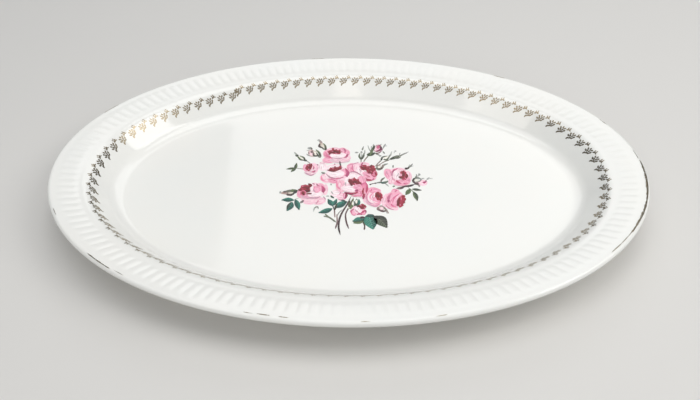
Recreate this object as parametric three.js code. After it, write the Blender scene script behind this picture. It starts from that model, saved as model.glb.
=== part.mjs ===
// An oval china serving platter, in millimetres, +Z up.
// The origin is the middle of the oval, on the plane that the foot ring stands on.
// +X runs along the platter's length.
//
// The platter is one fired body. What is fired on top of it is modelled as separate thin films:
// the gilding on the lip, the strips of gold sprigs round the well's wall, and each rose, bud,
// leaf spray and stem of the enamel bouquet.

import * as THREE from "three";

// Driving dimensions.
const LENGTH = 360;
const WIDTH = 236;
const HEIGHT = 26;
const LIP_RADIUS = 2.1;
const WALL = 4.5;
const WELL_DEPTH = 18.4;
const FOOT_HEIGHT = 2.5;
const FLUTES = 156;
const FLUTE_RELIEF = 0.3;
const SPRIG_STRIPS = 8;

// The rim is narrower at the sides of the oval than at its ends, by this share.
const SIDE_SHARE = 0.887;

// Insets are measured inwards from the lip's outermost edge, along the length.
const FLUTES_START = 5;
const FLUTES_END = 17.5;
const FLUTE_RUN_OUT = 1.5;
const SHOULDER_START = 19.6;
const SHOULDER_CORNER = 22.6;
const WALL_TOP = 24.8;
const WALL_FOOT = 32;
const FLOOR_EDGE = 42;
const FLOOR_PANEL = 70;
const FOOT_OUTSIDE = 38;
const FOOT_INSIDE = 43.4;

// Slopes of the rim's top and of the well's wall: fall in height over inset.
const RIM_FALL = 0.177;
const WALL_FALL = 1.11;

// Films of gold and enamel.
const FILM_GAP = 0.3;
const FILM_THICKNESS = 0.2;
const GILT_FROM_DEG = 70;
const GILT_TO_DEG = 150;
const SPRIGS_START = 18.4;
const SPRIGS_END = 28;

// Columns round the oval: two for each flute where the rim is fluted, and fewer where it is smooth.
const FINE = FLUTES * 2;
const MEDIUM = FINE / 3;
const COARSE = FINE / 6;
const FULL_TURN = Math.PI * 2;

const FLOOR_HEIGHT = HEIGHT - WELL_DEPTH;
const BASE_HEIGHT = FOOT_HEIGHT + 0.1;
const shoulderHeight = HEIGHT - RIM_FALL * (SHOULDER_CORNER - LIP_RADIUS);

// Height of the rim's top at an inset, and of the well's wall.
const rimHeight = (inset) => HEIGHT - RIM_FALL * (inset - LIP_RADIUS);
const wallHeight = (inset) => shoulderHeight - WALL_FALL * (inset - SHOULDER_CORNER);

// ---------------------------------------------------------------- rings and skins

const edge = new THREE.EllipseCurve(0, 0, LENGTH / 2, WIDTH / 2, 0, FULL_TURN);
edge.arcLengthDivisions = 2000;

// The angle of a column, spaced evenly along the lip so that every flute has the same width.
const columnAngle = (column, columns) => edge.getUtoTmapping(column / columns) * FULL_TURN;

function ovalPoint(inset, height, angle) {
  return new THREE.Vector3(
    (LENGTH / 2 - inset) * Math.cos(angle),
    (WIDTH / 2 - SIDE_SHARE * inset) * Math.sin(angle),
    height,
  );
}

// One closed oval of points. Relief lifts the even columns and sinks the odd ones.
function ovalRing(inset, height, columns, relief = 0) {
  return Array.from({ length: columns }, (_, i) =>
    ovalPoint(inset, height + (i % 2 ? -relief : relief), columnAngle(i, columns)),
  );
}

const middlePoint = (height) => [new THREE.Vector3(0, 0, height)];

// Joins rings of points, in order, into a skin. Neighbouring rings may hold different numbers of points.
function skin(rings) {
  const points = rings.flat();
  const starts = rings.map((_, k) => rings.slice(0, k).reduce((sum, r) => sum + r.length, 0));
  const faces = [];
  for (let k = 0; k + 1 < rings.length; k++) {
    const steps = Math.max(rings[k].length, rings[k + 1].length);
    const at = (ring, step) => {
      const count = rings[ring].length;
      return starts[ring] + (Math.floor((step * count) / steps) % count);
    };
    for (let step = 0; step < steps; step++) {
      const [a, b] = [at(k, step), at(k, step + 1)];
      const [c, d] = [at(k + 1, step), at(k + 1, step + 1)];
      if (c !== d) faces.push(a, c, d);
      if (a !== b) faces.push(a, d, b);
    }
  }
  return geometryOf(points, faces);
}

function geometryOf(points, faces) {
  const geometry = new THREE.BufferGeometry().setFromPoints(points);
  geometry.setIndex(faces);
  geometry.computeVertexNormals();
  return geometry;
}

// ---------------------------------------------------------------- the fired body

// The curves of the section, each as [inset, height] points: the foot of the well's wall, where it
// turns into the floor, and the soft shoulder between the wall and the rim.
const cove = new THREE.QuadraticBezierCurve(
  new THREE.Vector2(FLOOR_EDGE, FLOOR_HEIGHT),
  new THREE.Vector2(WALL_FOOT + (wallHeight(WALL_FOOT) - FLOOR_HEIGHT) / WALL_FALL, FLOOR_HEIGHT),
  new THREE.Vector2(WALL_FOOT, wallHeight(WALL_FOOT)),
).getPoints(3);
const shoulder = new THREE.QuadraticBezierCurve(
  new THREE.Vector2(WALL_TOP, wallHeight(WALL_TOP)),
  new THREE.Vector2(SHOULDER_CORNER, shoulderHeight),
  new THREE.Vector2(SHOULDER_START, rimHeight(SHOULDER_START)),
).getPoints(2);

// The section's upper side, from the middle of the floor out to the start of the lip, as rings.
function upperRings() {
  const fluted = (inset) => ovalRing(inset, rimHeight(inset), FINE, FLUTE_RELIEF);
  const smooth = (inset) => ovalRing(inset, rimHeight(inset), MEDIUM);
  return [
    middlePoint(FLOOR_HEIGHT),
    ovalRing(FLOOR_PANEL, FLOOR_HEIGHT, COARSE),
    ...cove.map((p) => ovalRing(p.x, p.y, MEDIUM)),
    ...shoulder.map((p) => ovalRing(p.x, p.y, MEDIUM)),
    smooth(FLUTES_END),
    fluted(FLUTES_END - FLUTE_RUN_OUT),
    fluted(FLUTES_START + FLUTE_RUN_OUT),
    smooth(FLUTES_START),
  ];
}

// The half-round lip, from its crest over the outside to its underside.
function lipRings() {
  const parts = 4;
  return Array.from({ length: parts + 1 }, (_, i) => {
    const turn = Math.PI / 2 + (Math.PI * i) / parts;
    return ovalRing(
      LIP_RADIUS * (1 + Math.cos(turn)),
      HEIGHT - LIP_RADIUS * (1 - Math.sin(turn)),
      MEDIUM,
    );
  });
}

// The section's underside, from behind the lip in to the middle, with the foot ring.
function lowerRings() {
  const under = (inset, height) => ovalRing(inset, height, COARSE);
  const lean = Math.hypot(1, WALL_FALL);
  const wallUnder = (inset) => wallHeight(inset) - WALL * lean;
  const cornerInset = SHOULDER_CORNER - 2;
  return [
    under(SHOULDER_START - 2.5, rimHeight(SHOULDER_START - 2.5) - 2 * LIP_RADIUS),
    under(cornerInset, wallUnder(cornerInset) + 1.1),
    under(WALL_TOP, wallUnder(WALL_TOP)),
    under(WALL_FOOT - 2, wallUnder(WALL_FOOT - 2)),
    under(FOOT_OUTSIDE - 3.5, BASE_HEIGHT + 0.9),
    under(FOOT_OUTSIDE, BASE_HEIGHT),
    under(FOOT_OUTSIDE + 0.4, 0.6),
    under(FOOT_OUTSIDE + 1, 0),
    under(FOOT_INSIDE - 1.4, 0),
    under(FOOT_INSIDE - 0.8, 0.6),
    under(FOOT_INSIDE, BASE_HEIGHT),
    middlePoint(BASE_HEIGHT),
  ];
}

function platterBody() {
  return skin([...upperRings(), ...lipRings(), ...lowerRings()]);
}

// ---------------------------------------------------------------- gold films

// A point of a film's section pushed off the china by a rise. The section's points run inwards.
function lifted(section, k, rise) {
  const sides = [section[Math.max(k, 1)], section[Math.min(k + 1, section.length - 1)]];
  const before = sides[0].clone().sub(section[Math.max(k, 1) - 1]).normalize();
  const after = sides[1].clone().sub(section[Math.min(k + 1, section.length - 1) - 1]).normalize();
  const along = before.clone().add(after).normalize();
  const push = rise / along.dot(before);
  return new THREE.Vector2(section[k].x - along.y * push, section[k].y + along.x * push);
}

// A thin film over a section of [inset, height] points, from one column to another or all round.
function film(section, firstColumn, lastColumn) {
  const side = (rise) => section.map((_, k) => lifted(section, k, rise));
  const loop = [...side(FILM_GAP), ...side(FILM_GAP + FILM_THICKNESS).reverse()];
  const n = loop.length;
  const spans = lastColumn - firstColumn;
  const allRound = spans === MEDIUM;
  const stations = allRound ? spans : spans + 1;
  const points = Array.from({ length: stations }, (_, i) => {
    const angle = columnAngle((firstColumn + i) % MEDIUM, MEDIUM);
    return loop.map((p) => ovalPoint(p.x, p.y, angle));
  }).flat();
  const faces = [];
  for (let i = 0; i < spans; i++) {
    const [here, next] = [i * n, ((i + 1) % stations) * n];
    for (let k = 0; k < n; k++) {
      const following = (k + 1) % n;
      faces.push(here + k, here + following, next + following);
      faces.push(here + k, next + following, next + k);
    }
  }
  if (!allRound) {
    const end = spans * n;
    for (let k = 0; k + 1 < section.length; k++) {
      const [a, b, c, d] = [k, k + 1, n - 2 - k, n - 1 - k];
      faces.push(a, c, b, a, d, c);
      faces.push(end + a, end + b, end + c, end + a, end + c, end + d);
    }
  }
  return geometryOf(points, faces);
}

// The gilding on the lip, over the crest and part of the outside.
function giltLipLine() {
  const parts = 3;
  const section = Array.from({ length: parts + 1 }, (_, i) => {
    const degrees = THREE.MathUtils.lerp(GILT_FROM_DEG, GILT_TO_DEG, i / parts);
    const turn = THREE.MathUtils.degToRad(degrees);
    const inset = LIP_RADIUS * (1 + Math.cos(turn));
    return new THREE.Vector2(inset, HEIGHT - LIP_RADIUS * (1 - Math.sin(turn)));
  });
  return film(section.reverse(), 0, MEDIUM);
}

// One strip of the gold sprig border, over the shoulder and the top of the well's wall.
function sprigStrip(firstColumn, lastColumn) {
  const onRim = new THREE.Vector2(SPRIGS_START, rimHeight(SPRIGS_START));
  const onWall = new THREE.Vector2(SPRIGS_END, wallHeight(SPRIGS_END));
  return film([onRim, ...shoulder.slice().reverse(), onWall], firstColumn, lastColumn);
}

// ---------------------------------------------------------------- the enamel bouquet

// Each patch: name, x and y of its middle, half length, half width, turn in degrees.
const ROSES = [
  ["rose_top", -8, 30, 8.6, 8.2, 0],
  ["rose_upper_centre", -9.5, 12, 8.2, 7.6, 0],
  ["rose_upper_right", 9.2, 15.4, 8.4, 8.2, -20],
  ["rose_centre", 3.4, -1.2, 7.4, 7.4, 0],
  ["rose_left", -23.6, -5.6, 8.8, 8, -10],
  ["rose_small_left", -25.6, 16.4, 5.2, 5, 0],
  ["rose_right", 31, 9.2, 7.8, 7.8, 20],
  ["rose_lower_centre", 15.6, -8.4, 4.7, 7.2, 20],
  ["rose_lower_right", 28, -10.6, 6.6, 8, -20],
  ["rose_small_bottom", 5.8, -19, 4.6, 4.6, 0],
  ["rose_fallen_petals", -8.4, -5, 4, 4.4, 30],
];
const BUDS = [
  ["bud_top_left", -17.8, 41, 1.6, 5.6, 20],
  ["bud_upper_left", -23.4, 31.6, 2.8, 5.6, 40],
  ["bud_far_left", -32, 27.4, 1.4, 5.4, 48],
  ["bud_top_centre", 8, 31.6, 1.9, 5.4, -4],
  ["bud_top_right", 18, 34.6, 3, 6.4, -28],
  ["bud_inner_right", 24, 26.6, 1.3, 4.6, -40],
  ["bud_outer_right", 32.6, 29.4, 1.4, 6, -62],
  ["bud_beside_rose", 20.6, 18.6, 1.5, 3.4, -50],
  ["bud_above_right_rose", 39.4, 19, 0.8, 3.4, -48],
  ["bud_right", 45.4, 5.6, 2.6, 4.6, 40],
  ["bud_left", -38, -3.8, 2, 5, 88],
  ["bud_twig", 19.8, 3.4, 1.2, 2.9, -70],
  ["bud_bottom_right", 20, -19.4, 1.5, 3.6, 60],
];
const LEAF_SPRAYS = [
  ["leaves_far_left", -36.4, 16.8, 4, 4, -30],
  ["leaves_lower_left", -36.2, -13.6, 5.4, 5.4, 210],
  ["leaves_lower_middle", -10.6, -16.4, 5.6, 5.6, 90],
  ["leaves_right", 40.6, -4.2, 5.2, 5.2, 90],
];
const LEAVES = [
  ["leaf_bottom_green", 4.4, -27.8, 3.4, 3.2, 10],
  ["leaf_bottom_teal", 12.6, -29, 5.6, 4.4, -72],
  ["leaf_bottom_dark", 18.9, -29, 5.8, 3.4, -60],
];
const STEMS = [
  ["stem_main", [[-3.4, -20], [-6, -26], [-6.8, -31.4], [-5.4, -39]]],
  ["stem_right", [[-1.4, -15], [-2.2, -22], [-1.8, -28.6], [-0.4, -34.4]]],
  ["stem_leafy", [[-8.4, -24.4], [-8, -29.6], [-8.8, -34.4]]],
  ["stem_short", [[8.3, -27.4], [8.9, -31.4], [8.6, -35.4]]],
];
const STEM_WIDTH = 0.8;
const POINTS_PER_LOBE = 6;
const PETALS = { lobes: 5, depth: 0.12 };
const LEAFLETS = { lobes: 3, depth: 0.55 };
const POINTED = { lobes: 2, depth: 0.3 };

// A flat film on the well's floor, cut to a closed outline of [x, y] points.
function floorFilm(outline) {
  const shape = new THREE.Shape(outline.map(([x, y]) => new THREE.Vector2(x, y)));
  const geometry = new THREE.ExtrudeGeometry(shape, { depth: FILM_THICKNESS, bevelEnabled: false });
  return geometry.translate(0, 0, FLOOR_HEIGHT + FILM_GAP);
}

// An oval whose edge swells into lobes: five soft petals on a rose, three leaflets on a spray, and
// two on a bud or a leaf, which draws its ends out to points.
function lobedPatch([x, y, halfLength, halfWidth, turnDeg], { lobes, depth }) {
  const turn = THREE.MathUtils.degToRad(turnDeg);
  const points = lobes * POINTS_PER_LOBE;
  const outline = Array.from({ length: points }, (_, i) => {
    const angle = (FULL_TURN * i) / points;
    const reach = 1 - (depth * (1 - Math.cos(lobes * angle))) / 2;
    const [u, v] = [halfLength * reach * Math.cos(angle), halfWidth * reach * Math.sin(angle)];
    return [x + u * Math.cos(turn) - v * Math.sin(turn), y + u * Math.sin(turn) + v * Math.cos(turn)];
  });
  return floorFilm(outline);
}

// A narrow stem of even width along a smooth curve through its points.
function stemFilm(points) {
  const curve = new THREE.SplineCurve(points.map(([x, y]) => new THREE.Vector2(x, y)));
  const steps = 8;
  const side = (sign) =>
    Array.from({ length: steps + 1 }, (_, i) => {
      const [p, along] = [curve.getPoint(i / steps), curve.getTangent(i / steps)];
      return [p.x - (sign * along.y * STEM_WIDTH) / 2, p.y + (sign * along.x * STEM_WIDTH) / 2];
    });
  return floorFilm([...side(1), ...side(-1).reverse()]);
}

// ---------------------------------------------------------------- materials

const china = () => new THREE.MeshStandardMaterial({ color: "#f4f3ee", roughness: 0.12 });
const gold = () => new THREE.MeshStandardMaterial({ color: "#a98a55", roughness: 0.3, metalness: 1 });
const roseEnamel = () => new THREE.MeshStandardMaterial({ color: "#e07fa0", roughness: 0.15 });
const leafEnamel = () => new THREE.MeshStandardMaterial({ color: "#1f6b5c", roughness: 0.15 });
const budEnamel = () => new THREE.MeshStandardMaterial({ color: "#6d6a52", roughness: 0.15 });
const stemEnamel = () => new THREE.MeshStandardMaterial({ color: "#4a2f35", roughness: 0.15 });

// ---------------------------------------------------------------- the platter

const platter = new THREE.Group();

function addPart(name, geometry, material) {
  const mesh = new THREE.Mesh(geometry, material);
  mesh.name = name;
  platter.add(mesh);
}

addPart("platter_body", platterBody(), china());
addPart("gilt_lip_line", giltLipLine(), gold());

const columnsPerStrip = MEDIUM / SPRIG_STRIPS;
for (let i = 0; i < SPRIG_STRIPS; i++) {
  // A strip stops one column short of the next, so that neighbours do not touch.
  const first = i * columnsPerStrip;
  addPart(`gold_sprig_strip_${i + 1}`, sprigStrip(first, first + columnsPerStrip - 1), gold());
}

for (const [name, ...place] of ROSES) addPart(name, lobedPatch(place, PETALS), roseEnamel());
for (const [name, ...place] of BUDS) addPart(name, lobedPatch(place, POINTED), budEnamel());
for (const [name, ...place] of LEAF_SPRAYS) addPart(name, lobedPatch(place, LEAFLETS), leafEnamel());
for (const [name, ...place] of LEAVES) addPart(name, lobedPatch(place, POINTED), leafEnamel());
for (const [name, points] of STEMS) addPart(name, stemFilm(points), stemEnamel());

export default platter;
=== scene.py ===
# %% [markdown]
# # An oval china platter with a bouquet of roses
#
# A serving platter is pressed from clay in one mould, glazed white, and then decorated on top of
# the glaze: gold sprigs round the well, a gold line on the lip and an enamel bouquet on the floor.
# The measured model gives the platter's size and place. This script makes the surfaces that are
# seen: the rounded, fluted china, the thin films of gold and enamel, and their finishes.

# %% Load the measured model
import math
import random

import bpy
from mathutils import Matrix, Vector


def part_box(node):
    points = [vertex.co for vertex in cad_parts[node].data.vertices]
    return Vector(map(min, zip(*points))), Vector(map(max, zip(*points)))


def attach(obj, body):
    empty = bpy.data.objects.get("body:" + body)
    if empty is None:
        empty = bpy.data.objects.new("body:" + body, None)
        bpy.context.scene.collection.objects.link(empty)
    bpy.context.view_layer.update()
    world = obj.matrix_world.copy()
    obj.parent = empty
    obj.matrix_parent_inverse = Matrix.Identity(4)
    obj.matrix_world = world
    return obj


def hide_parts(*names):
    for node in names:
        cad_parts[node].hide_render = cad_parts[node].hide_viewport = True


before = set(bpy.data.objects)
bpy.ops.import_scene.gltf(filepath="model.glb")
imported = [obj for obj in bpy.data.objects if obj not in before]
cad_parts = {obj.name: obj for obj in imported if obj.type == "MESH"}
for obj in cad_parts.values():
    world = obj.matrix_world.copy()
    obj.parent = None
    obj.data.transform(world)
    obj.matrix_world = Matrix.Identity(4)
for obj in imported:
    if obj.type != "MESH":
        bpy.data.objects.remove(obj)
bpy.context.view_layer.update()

MM = 0.001
china_low, china_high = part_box("platter_body")
HALF_LENGTH = (china_high[0] - china_low[0]) / 2 / MM
HALF_WIDTH = (china_high[1] - china_low[1]) / 2 / MM
HEIGHT = china_high[2] / MM
print(f"platter {2 * HALF_LENGTH:.1f} x {2 * HALF_WIDTH:.1f} x {HEIGHT:.1f} mm")

# %% [markdown]
# ## The camera, the table and the light
#
# The platter lies on a plain pale table and is seen from in front and above, half way between
# level and straight down. White china is nothing but its light: a window at the right gives the
# bright glare in the back left of the well, a soft light overhead gives the thin bright line along
# the foot of the far wall, and two small warm lights, in front and at the left, light a few of the
# gold sprigs. A window behind, a pale wall in front and a high light at the left fill in the rest.
# The room itself stays dim, because polished gold shows whatever it mirrors.

# %% Camera
VIEW_DOWN = math.radians(44.31)
VIEW_ROLL = math.radians(0.34)
CAMERA_PLACE = (0.8 * MM, -312.6 * MM, 300.1 * MM)
LENS = 35.1

bpy.ops.object.camera_add(location=CAMERA_PLACE)
camera = bpy.context.object
tilt = Matrix.Rotation(math.pi / 2 - VIEW_DOWN, 3, "X")
camera.rotation_euler = (tilt @ Matrix.Rotation(VIEW_ROLL, 3, "Z")).to_euler()
camera.data.lens = LENS
camera.data.sensor_width = 36
camera.data.clip_start = 0.01
bpy.context.scene.camera = camera
bpy.context.scene.view_settings.view_transform = "Standard"
print(f"camera {Vector(CAMERA_PLACE).length:.2f} m away, lens {LENS} mm")

# %% Lights
ROOM_LIGHT = (0.80, 0.86, 0.95, 1)
ROOM_STRENGTH = 0.235


def room_light(name, azimuth, elevation, distance, width, height, strength, colour=(1, 1, 1)):
    """A rectangular light that faces the platter. Azimuth 0 is behind it, and 90 at its right."""
    turn, lift = math.radians(azimuth), math.radians(elevation)
    way = Vector((math.sin(turn) * math.cos(lift), math.cos(turn) * math.cos(lift), math.sin(lift)))
    bpy.ops.object.light_add(type="AREA", location=way * distance)
    light = bpy.context.object
    light.name = name
    light.rotation_euler = way.to_track_quat("Z", "Y").to_euler()
    light.data.shape = "RECTANGLE"
    light.data.size = width
    light.data.size_y = height
    light.data.energy = strength * width * height * math.pi
    light.data.color = colour
    return light


world = bpy.data.worlds.new("dim_room")
bpy.context.scene.world = world
world.use_nodes = True
world.node_tree.nodes["Background"].inputs["Color"].default_value = ROOM_LIGHT
world.node_tree.nodes["Background"].inputs["Strength"].default_value = ROOM_STRENGTH
room_light("window_at_right", 99, 47, 1.3, 0.66, 0.66, 4.2, (1, 0.985, 0.96))
room_light("light_overhead", 75, 85.5, 1.4, 0.95, 0.80, 2.5)
room_light("window_behind", 8, 45, 1.4, 0.95, 0.60, 1.3)
room_light("pale_wall_in_front", 180, 34, 1.4, 1.60, 0.80, 0.95)
room_light("small_light_in_front", 180, 49, 1.4, 0.10, 0.30, 2.6, (1, 0.93, 0.84))
room_light("small_light_at_left", -134, 47, 1.4, 0.56, 0.26, 2.6, (1, 0.95, 0.88))
room_light("high_light_at_left", -105, 68, 1.4, 0.90, 0.50, 1.4)

# %% [markdown]
# ## Small tools
#
# Every piece is made in the same few moves: clear the selection, add a primitive, shape it in edit
# mode, and give the finished mesh to the platter's one body. Colours are written as the sRGB hex
# values that a painter would pick, and turned to the linear values that the renderer works in.

# %% Selection and edit mode
def only(piece):
    """Selects one object and makes it the active one."""
    bpy.ops.object.select_all(action="DESELECT")
    piece.select_set(True)
    bpy.context.view_layer.objects.active = piece


def edit(piece):
    """Opens a piece in edit mode with nothing selected."""
    only(piece)
    bpy.ops.object.mode_set(mode="EDIT")
    bpy.ops.mesh.select_all(action="DESELECT")


def leave_edit():
    bpy.ops.object.mode_set(mode="OBJECT")


def modify(piece, kind, **settings):
    """Adds a modifier with its settings and applies it."""
    only(piece)
    bpy.ops.object.modifier_add(type=kind)
    modifier = piece.modifiers[-1]
    for key, value in settings.items():
        setattr(modifier, key, value)
    bpy.ops.object.modifier_apply(modifier=modifier.name)


def joined(name, parts):
    """Joins loose parts into one named piece."""
    bpy.ops.object.select_all(action="DESELECT")
    for part in parts:
        part.select_set(True)
    bpy.context.view_layer.objects.active = parts[0]
    if len(parts) > 1:
        bpy.ops.object.join()
    piece = bpy.context.object
    piece.name = name
    piece.data.name = name
    return piece


def finish_piece(piece, material, nodes):
    """Gives a finished piece its material and its place in the model."""
    piece.data.materials.clear()
    piece.data.materials.append(material)
    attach(piece, "root")
    if nodes:
        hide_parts(*nodes)


# %% Colours and nodes
def linear(code):
    """An sRGB hex colour as linear red, green, blue and alpha."""
    channels = [int(code[i:i + 2], 16) / 255 for i in (1, 3, 5)]
    return (*(c / 12.92 if c <= 0.04045 else ((c + 0.055) / 1.055) ** 2.4 for c in channels), 1)


def mixed(first, second, share):
    """A colour between two linear colours."""
    share = min(max(share, 0), 1)
    return tuple(a + (b - a) * share for a, b in zip(first, second))


def new_material(name):
    """An empty Principled material. Returns it, its tree and its shader."""
    material = bpy.data.materials.new(name)
    material.use_nodes = True
    tree = material.node_tree
    return material, tree, tree.nodes["Principled BSDF"]


def add(tree, kind, inputs, **settings):
    """Adds a node, with its settings, and with a value or a link for each input that is named."""
    node = tree.nodes.new(kind)
    for key, value in settings.items():
        setattr(node, key, value)
    feed(tree, node, inputs)
    return node


def feed(tree, node, inputs):
    """Sets or links a node's inputs. A value may be a number, a colour, a socket or a whole node."""
    for key, value in inputs.items():
        socket = node.inputs[key] if isinstance(key, int) else live(node.inputs, key)
        if isinstance(value, bpy.types.Node):
            value = next(s for s in value.outputs if s.enabled)
        if isinstance(value, bpy.types.NodeSocket):
            tree.links.new(value, socket)
        else:
            socket.default_value = value


def live(sockets, name):
    """The socket of that name that is in use. A Mix node has several of each name."""
    return next(s for s in sockets if s.name == name and s.enabled)


# %% [markdown]
# ## Glazed china
#
# The body is warm white earthenware under a clear glaze. The clay gives the colour, with faint warm
# and cool clouds a few centimetres wide. The glaze gives a sharp gloss that ripples very slightly,
# because it ran while it was molten, and years of knives have left faint scratches on the floor of
# the well. The foot ring stood on a kiln shelf, so its base is bare, buff and matt.

# %% Glazed china material
CLOUD_SIZE = 45
RIPPLE_SIZE = 16
PEEL_SIZE = 1.6
SCRATCH_SPACING = 3.5
BARE_FOOT_TOP = 0.35


def glazed_china():
    material, tree, shader = new_material("earthenware_clear_glazed")
    place = add(tree, "ShaderNodeTexCoord", {}).outputs["Object"]
    clouds = add(tree, "ShaderNodeTexNoise", {"Vector": place, "Scale": 1 / (CLOUD_SIZE * MM), "Detail": 3})
    whites = add(tree, "ShaderNodeMix", {"Factor": clouds, "A": linear("#F3F1EB"), "B": linear("#EFF0EC")},
                 data_type="RGBA")
    height = add(tree, "ShaderNodeSeparateXYZ", {"Vector": place}).outputs["Z"]
    bare = add(tree, "ShaderNodeMapRange", {"Value": height, "From Min": BARE_FOOT_TOP * MM,
                                            "From Max": 0.5 * BARE_FOOT_TOP * MM})
    colour = add(tree, "ShaderNodeMix", {"Factor": bare, "A": whites, "B": linear("#D9CBB2")},
                 data_type="RGBA")
    # Scratches are the edges of long narrow cells, laid in two directions.
    scratches = 0.0
    for turn in (0.35, -0.9):
        lay = add(tree, "ShaderNodeMapping", {"Vector": place, "Rotation": (0, 0, turn),
                                              "Scale": (0.06, 1, 1)})
        cell = add(tree, "ShaderNodeTexVoronoi", {"Vector": lay, "Scale": 1 / (SCRATCH_SPACING * MM)},
                   feature="DISTANCE_TO_EDGE")
        line = add(tree, "ShaderNodeMapRange", {"Value": cell, "From Max": 0.02, "To Min": 1, "To Max": 0})
        scratches = add(tree, "ShaderNodeMath", {0: scratches, 1: line}, operation="MAXIMUM")
    smudges = add(tree, "ShaderNodeTexNoise", {"Vector": place, "Scale": 1 / (RIPPLE_SIZE * MM),
                                               "Detail": 4})
    worn = add(tree, "ShaderNodeMath", {0: scratches, 1: smudges}, operation="MULTIPLY")
    rough = add(tree, "ShaderNodeMapRange", {"Value": worn, "To Min": 0.07, "To Max": 0.17})
    rough_all = add(tree, "ShaderNodeMix", {"Factor": bare, "A": rough, "B": 0.75})
    ripple = add(tree, "ShaderNodeBump", {"Height": smudges, "Strength": 0.05, "Distance": 1.5 * MM})
    peel = add(tree, "ShaderNodeTexNoise", {"Vector": place, "Scale": 1 / (PEEL_SIZE * MM), "Detail": 1})
    skin = add(tree, "ShaderNodeBump", {"Height": peel, "Strength": 0.02, "Distance": 0.2 * MM,
                                        "Normal": ripple})
    feed(tree, shader, {"Base Color": colour, "Roughness": rough_all, "Normal": skin, "IOR": 1.52})
    return material


china_material = glazed_china()
print("material", china_material.name)

# %% [markdown]
# ## The fired body
#
# The whole section of the platter, from the middle of the floor over the lip and back under the
# foot, is one line of points: inset from the lip, and height. A potter would turn a template round
# the oval. Here a ring of points is extruded from station to station, and resized each time to the
# oval at that inset. The oval is narrower at its sides than at its ends, so each resize has its own
# share along the length and across it.

# %% The section
SIDE_SHARE = 0.887
RIM_FALL = 0.177
WALL_FALL = 1.11
LIP_RADIUS = 2.1
WALL_THICKNESS = 4.5
WELL_DEPTH = 18.4
FLUTES = 156
FLUTES_START = 4.6
FLUTES_END = 17.6
SHOULDER_START = 19.6
SHOULDER_CORNER = 22.6
WALL_TOP = 24.8
WALL_FOOT = 32
FLOOR_EDGE = 42
FLOOR = HEIGHT - WELL_DEPTH
BASE = 2.6
UNDER_RIM_END = 17.1
UNDER_RIM_CORNER = 20.4
UNDER_COVE_START = WALL_FOOT - 2.2
RIM_CORNER_HEIGHT = HEIGHT - RIM_FALL * (SHOULDER_CORNER - LIP_RADIUS)


def rim_height(inset):
    return HEIGHT - RIM_FALL * (inset - LIP_RADIUS)


def wall_height(inset):
    return RIM_CORNER_HEIGHT - WALL_FALL * (inset - SHOULDER_CORNER)


def under_rim_height(inset):
    return rim_height(inset) - 2 * LIP_RADIUS


def arc(start, corner, end, steps):
    """Points on the smooth curve that leaves start and reaches end with both pointing at corner."""
    shares = [i / steps for i in range(steps + 1)]
    return [tuple((1 - t) ** 2 * a + 2 * t * (1 - t) * b + t * t * c for a, b, c in zip(start, corner, end))
            for t in shares]


def straight(start, end, steps):
    """The points between two ends, without the ends."""
    return [tuple(a + (b - a) * i / steps for a, b in zip(start, end)) for i in range(1, steps)]


cove_corner = (WALL_FOOT + (wall_height(WALL_FOOT) - FLOOR) / WALL_FALL, FLOOR)
cove = arc((FLOOR_EDGE, FLOOR), cove_corner, (WALL_FOOT, wall_height(WALL_FOOT)), 9)
wall_up = straight(cove[-1], (WALL_TOP, wall_height(WALL_TOP)), 4)
shoulder = arc((WALL_TOP, wall_height(WALL_TOP)), (SHOULDER_CORNER, RIM_CORNER_HEIGHT),
               (SHOULDER_START, rim_height(SHOULDER_START)), 8)
flute_insets = [FLUTES_END - (FLUTES_END - FLUTES_START) * i / 12 for i in range(13)]
rim = [(inset, rim_height(inset)) for inset in (18.6, *flute_insets, 3.6, 2.8)]
top_section = cove + wall_up + shoulder + rim


def lip_point(degrees, grow=0):
    """A point on the half-round lip. 90 degrees is its crest and 180 its outermost edge."""
    turn = math.radians(degrees)
    radius = LIP_RADIUS + grow
    return LIP_RADIUS + radius * math.cos(turn), HEIGHT - LIP_RADIUS + radius * math.sin(turn)


lip = [lip_point(degrees) for degrees in range(90, 271, 15)]
under_wall = WALL_THICKNESS * math.hypot(1, WALL_FALL)
under_rim_end = (UNDER_RIM_END, under_rim_height(UNDER_RIM_END))
under_rim_corner = (UNDER_RIM_CORNER, under_rim_height(UNDER_RIM_CORNER))
under_rim = straight(lip[-1], under_rim_end, 4)
under_corner = arc(under_rim_end, under_rim_corner, (WALL_TOP, wall_height(WALL_TOP) - under_wall), 6)
under_cove = arc((UNDER_COVE_START, wall_height(UNDER_COVE_START) - under_wall), (33.2, 3.9), (37.6, 2.9), 6)
foot_ring = [(38.0, 2.3), (38.3, 1.0), (38.6, 0.45), (39.1, 0.12), (39.7, 0), (41.3, 0), (41.9, 0.12),
             (42.4, 0.45), (42.7, 1.0), (43.0, 2.1), (43.5, 2.5), (44.4, BASE)]
section = top_section + lip + under_rim + under_corner + under_cove + foot_ring
print(f"{len(section)} stations in the section")


# %% The oval and its even spacing
def oval(inset):
    """Half the length and half the width of the oval at an inset."""
    return HALF_LENGTH - inset, HALF_WIDTH - SIDE_SHARE * inset


def arc_table(inset, steps=3600):
    """The length along an oval, from its right end, at each small step of angle."""
    half_length, half_width = oval(inset)
    lengths = [0.0]
    for i in range(steps):
        turn = 2 * math.pi * (i + 0.5) / steps
        pace = math.hypot(half_length * math.sin(turn), half_width * math.cos(turn))
        lengths.append(lengths[-1] + pace * 2 * math.pi / steps)
    return lengths


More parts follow.
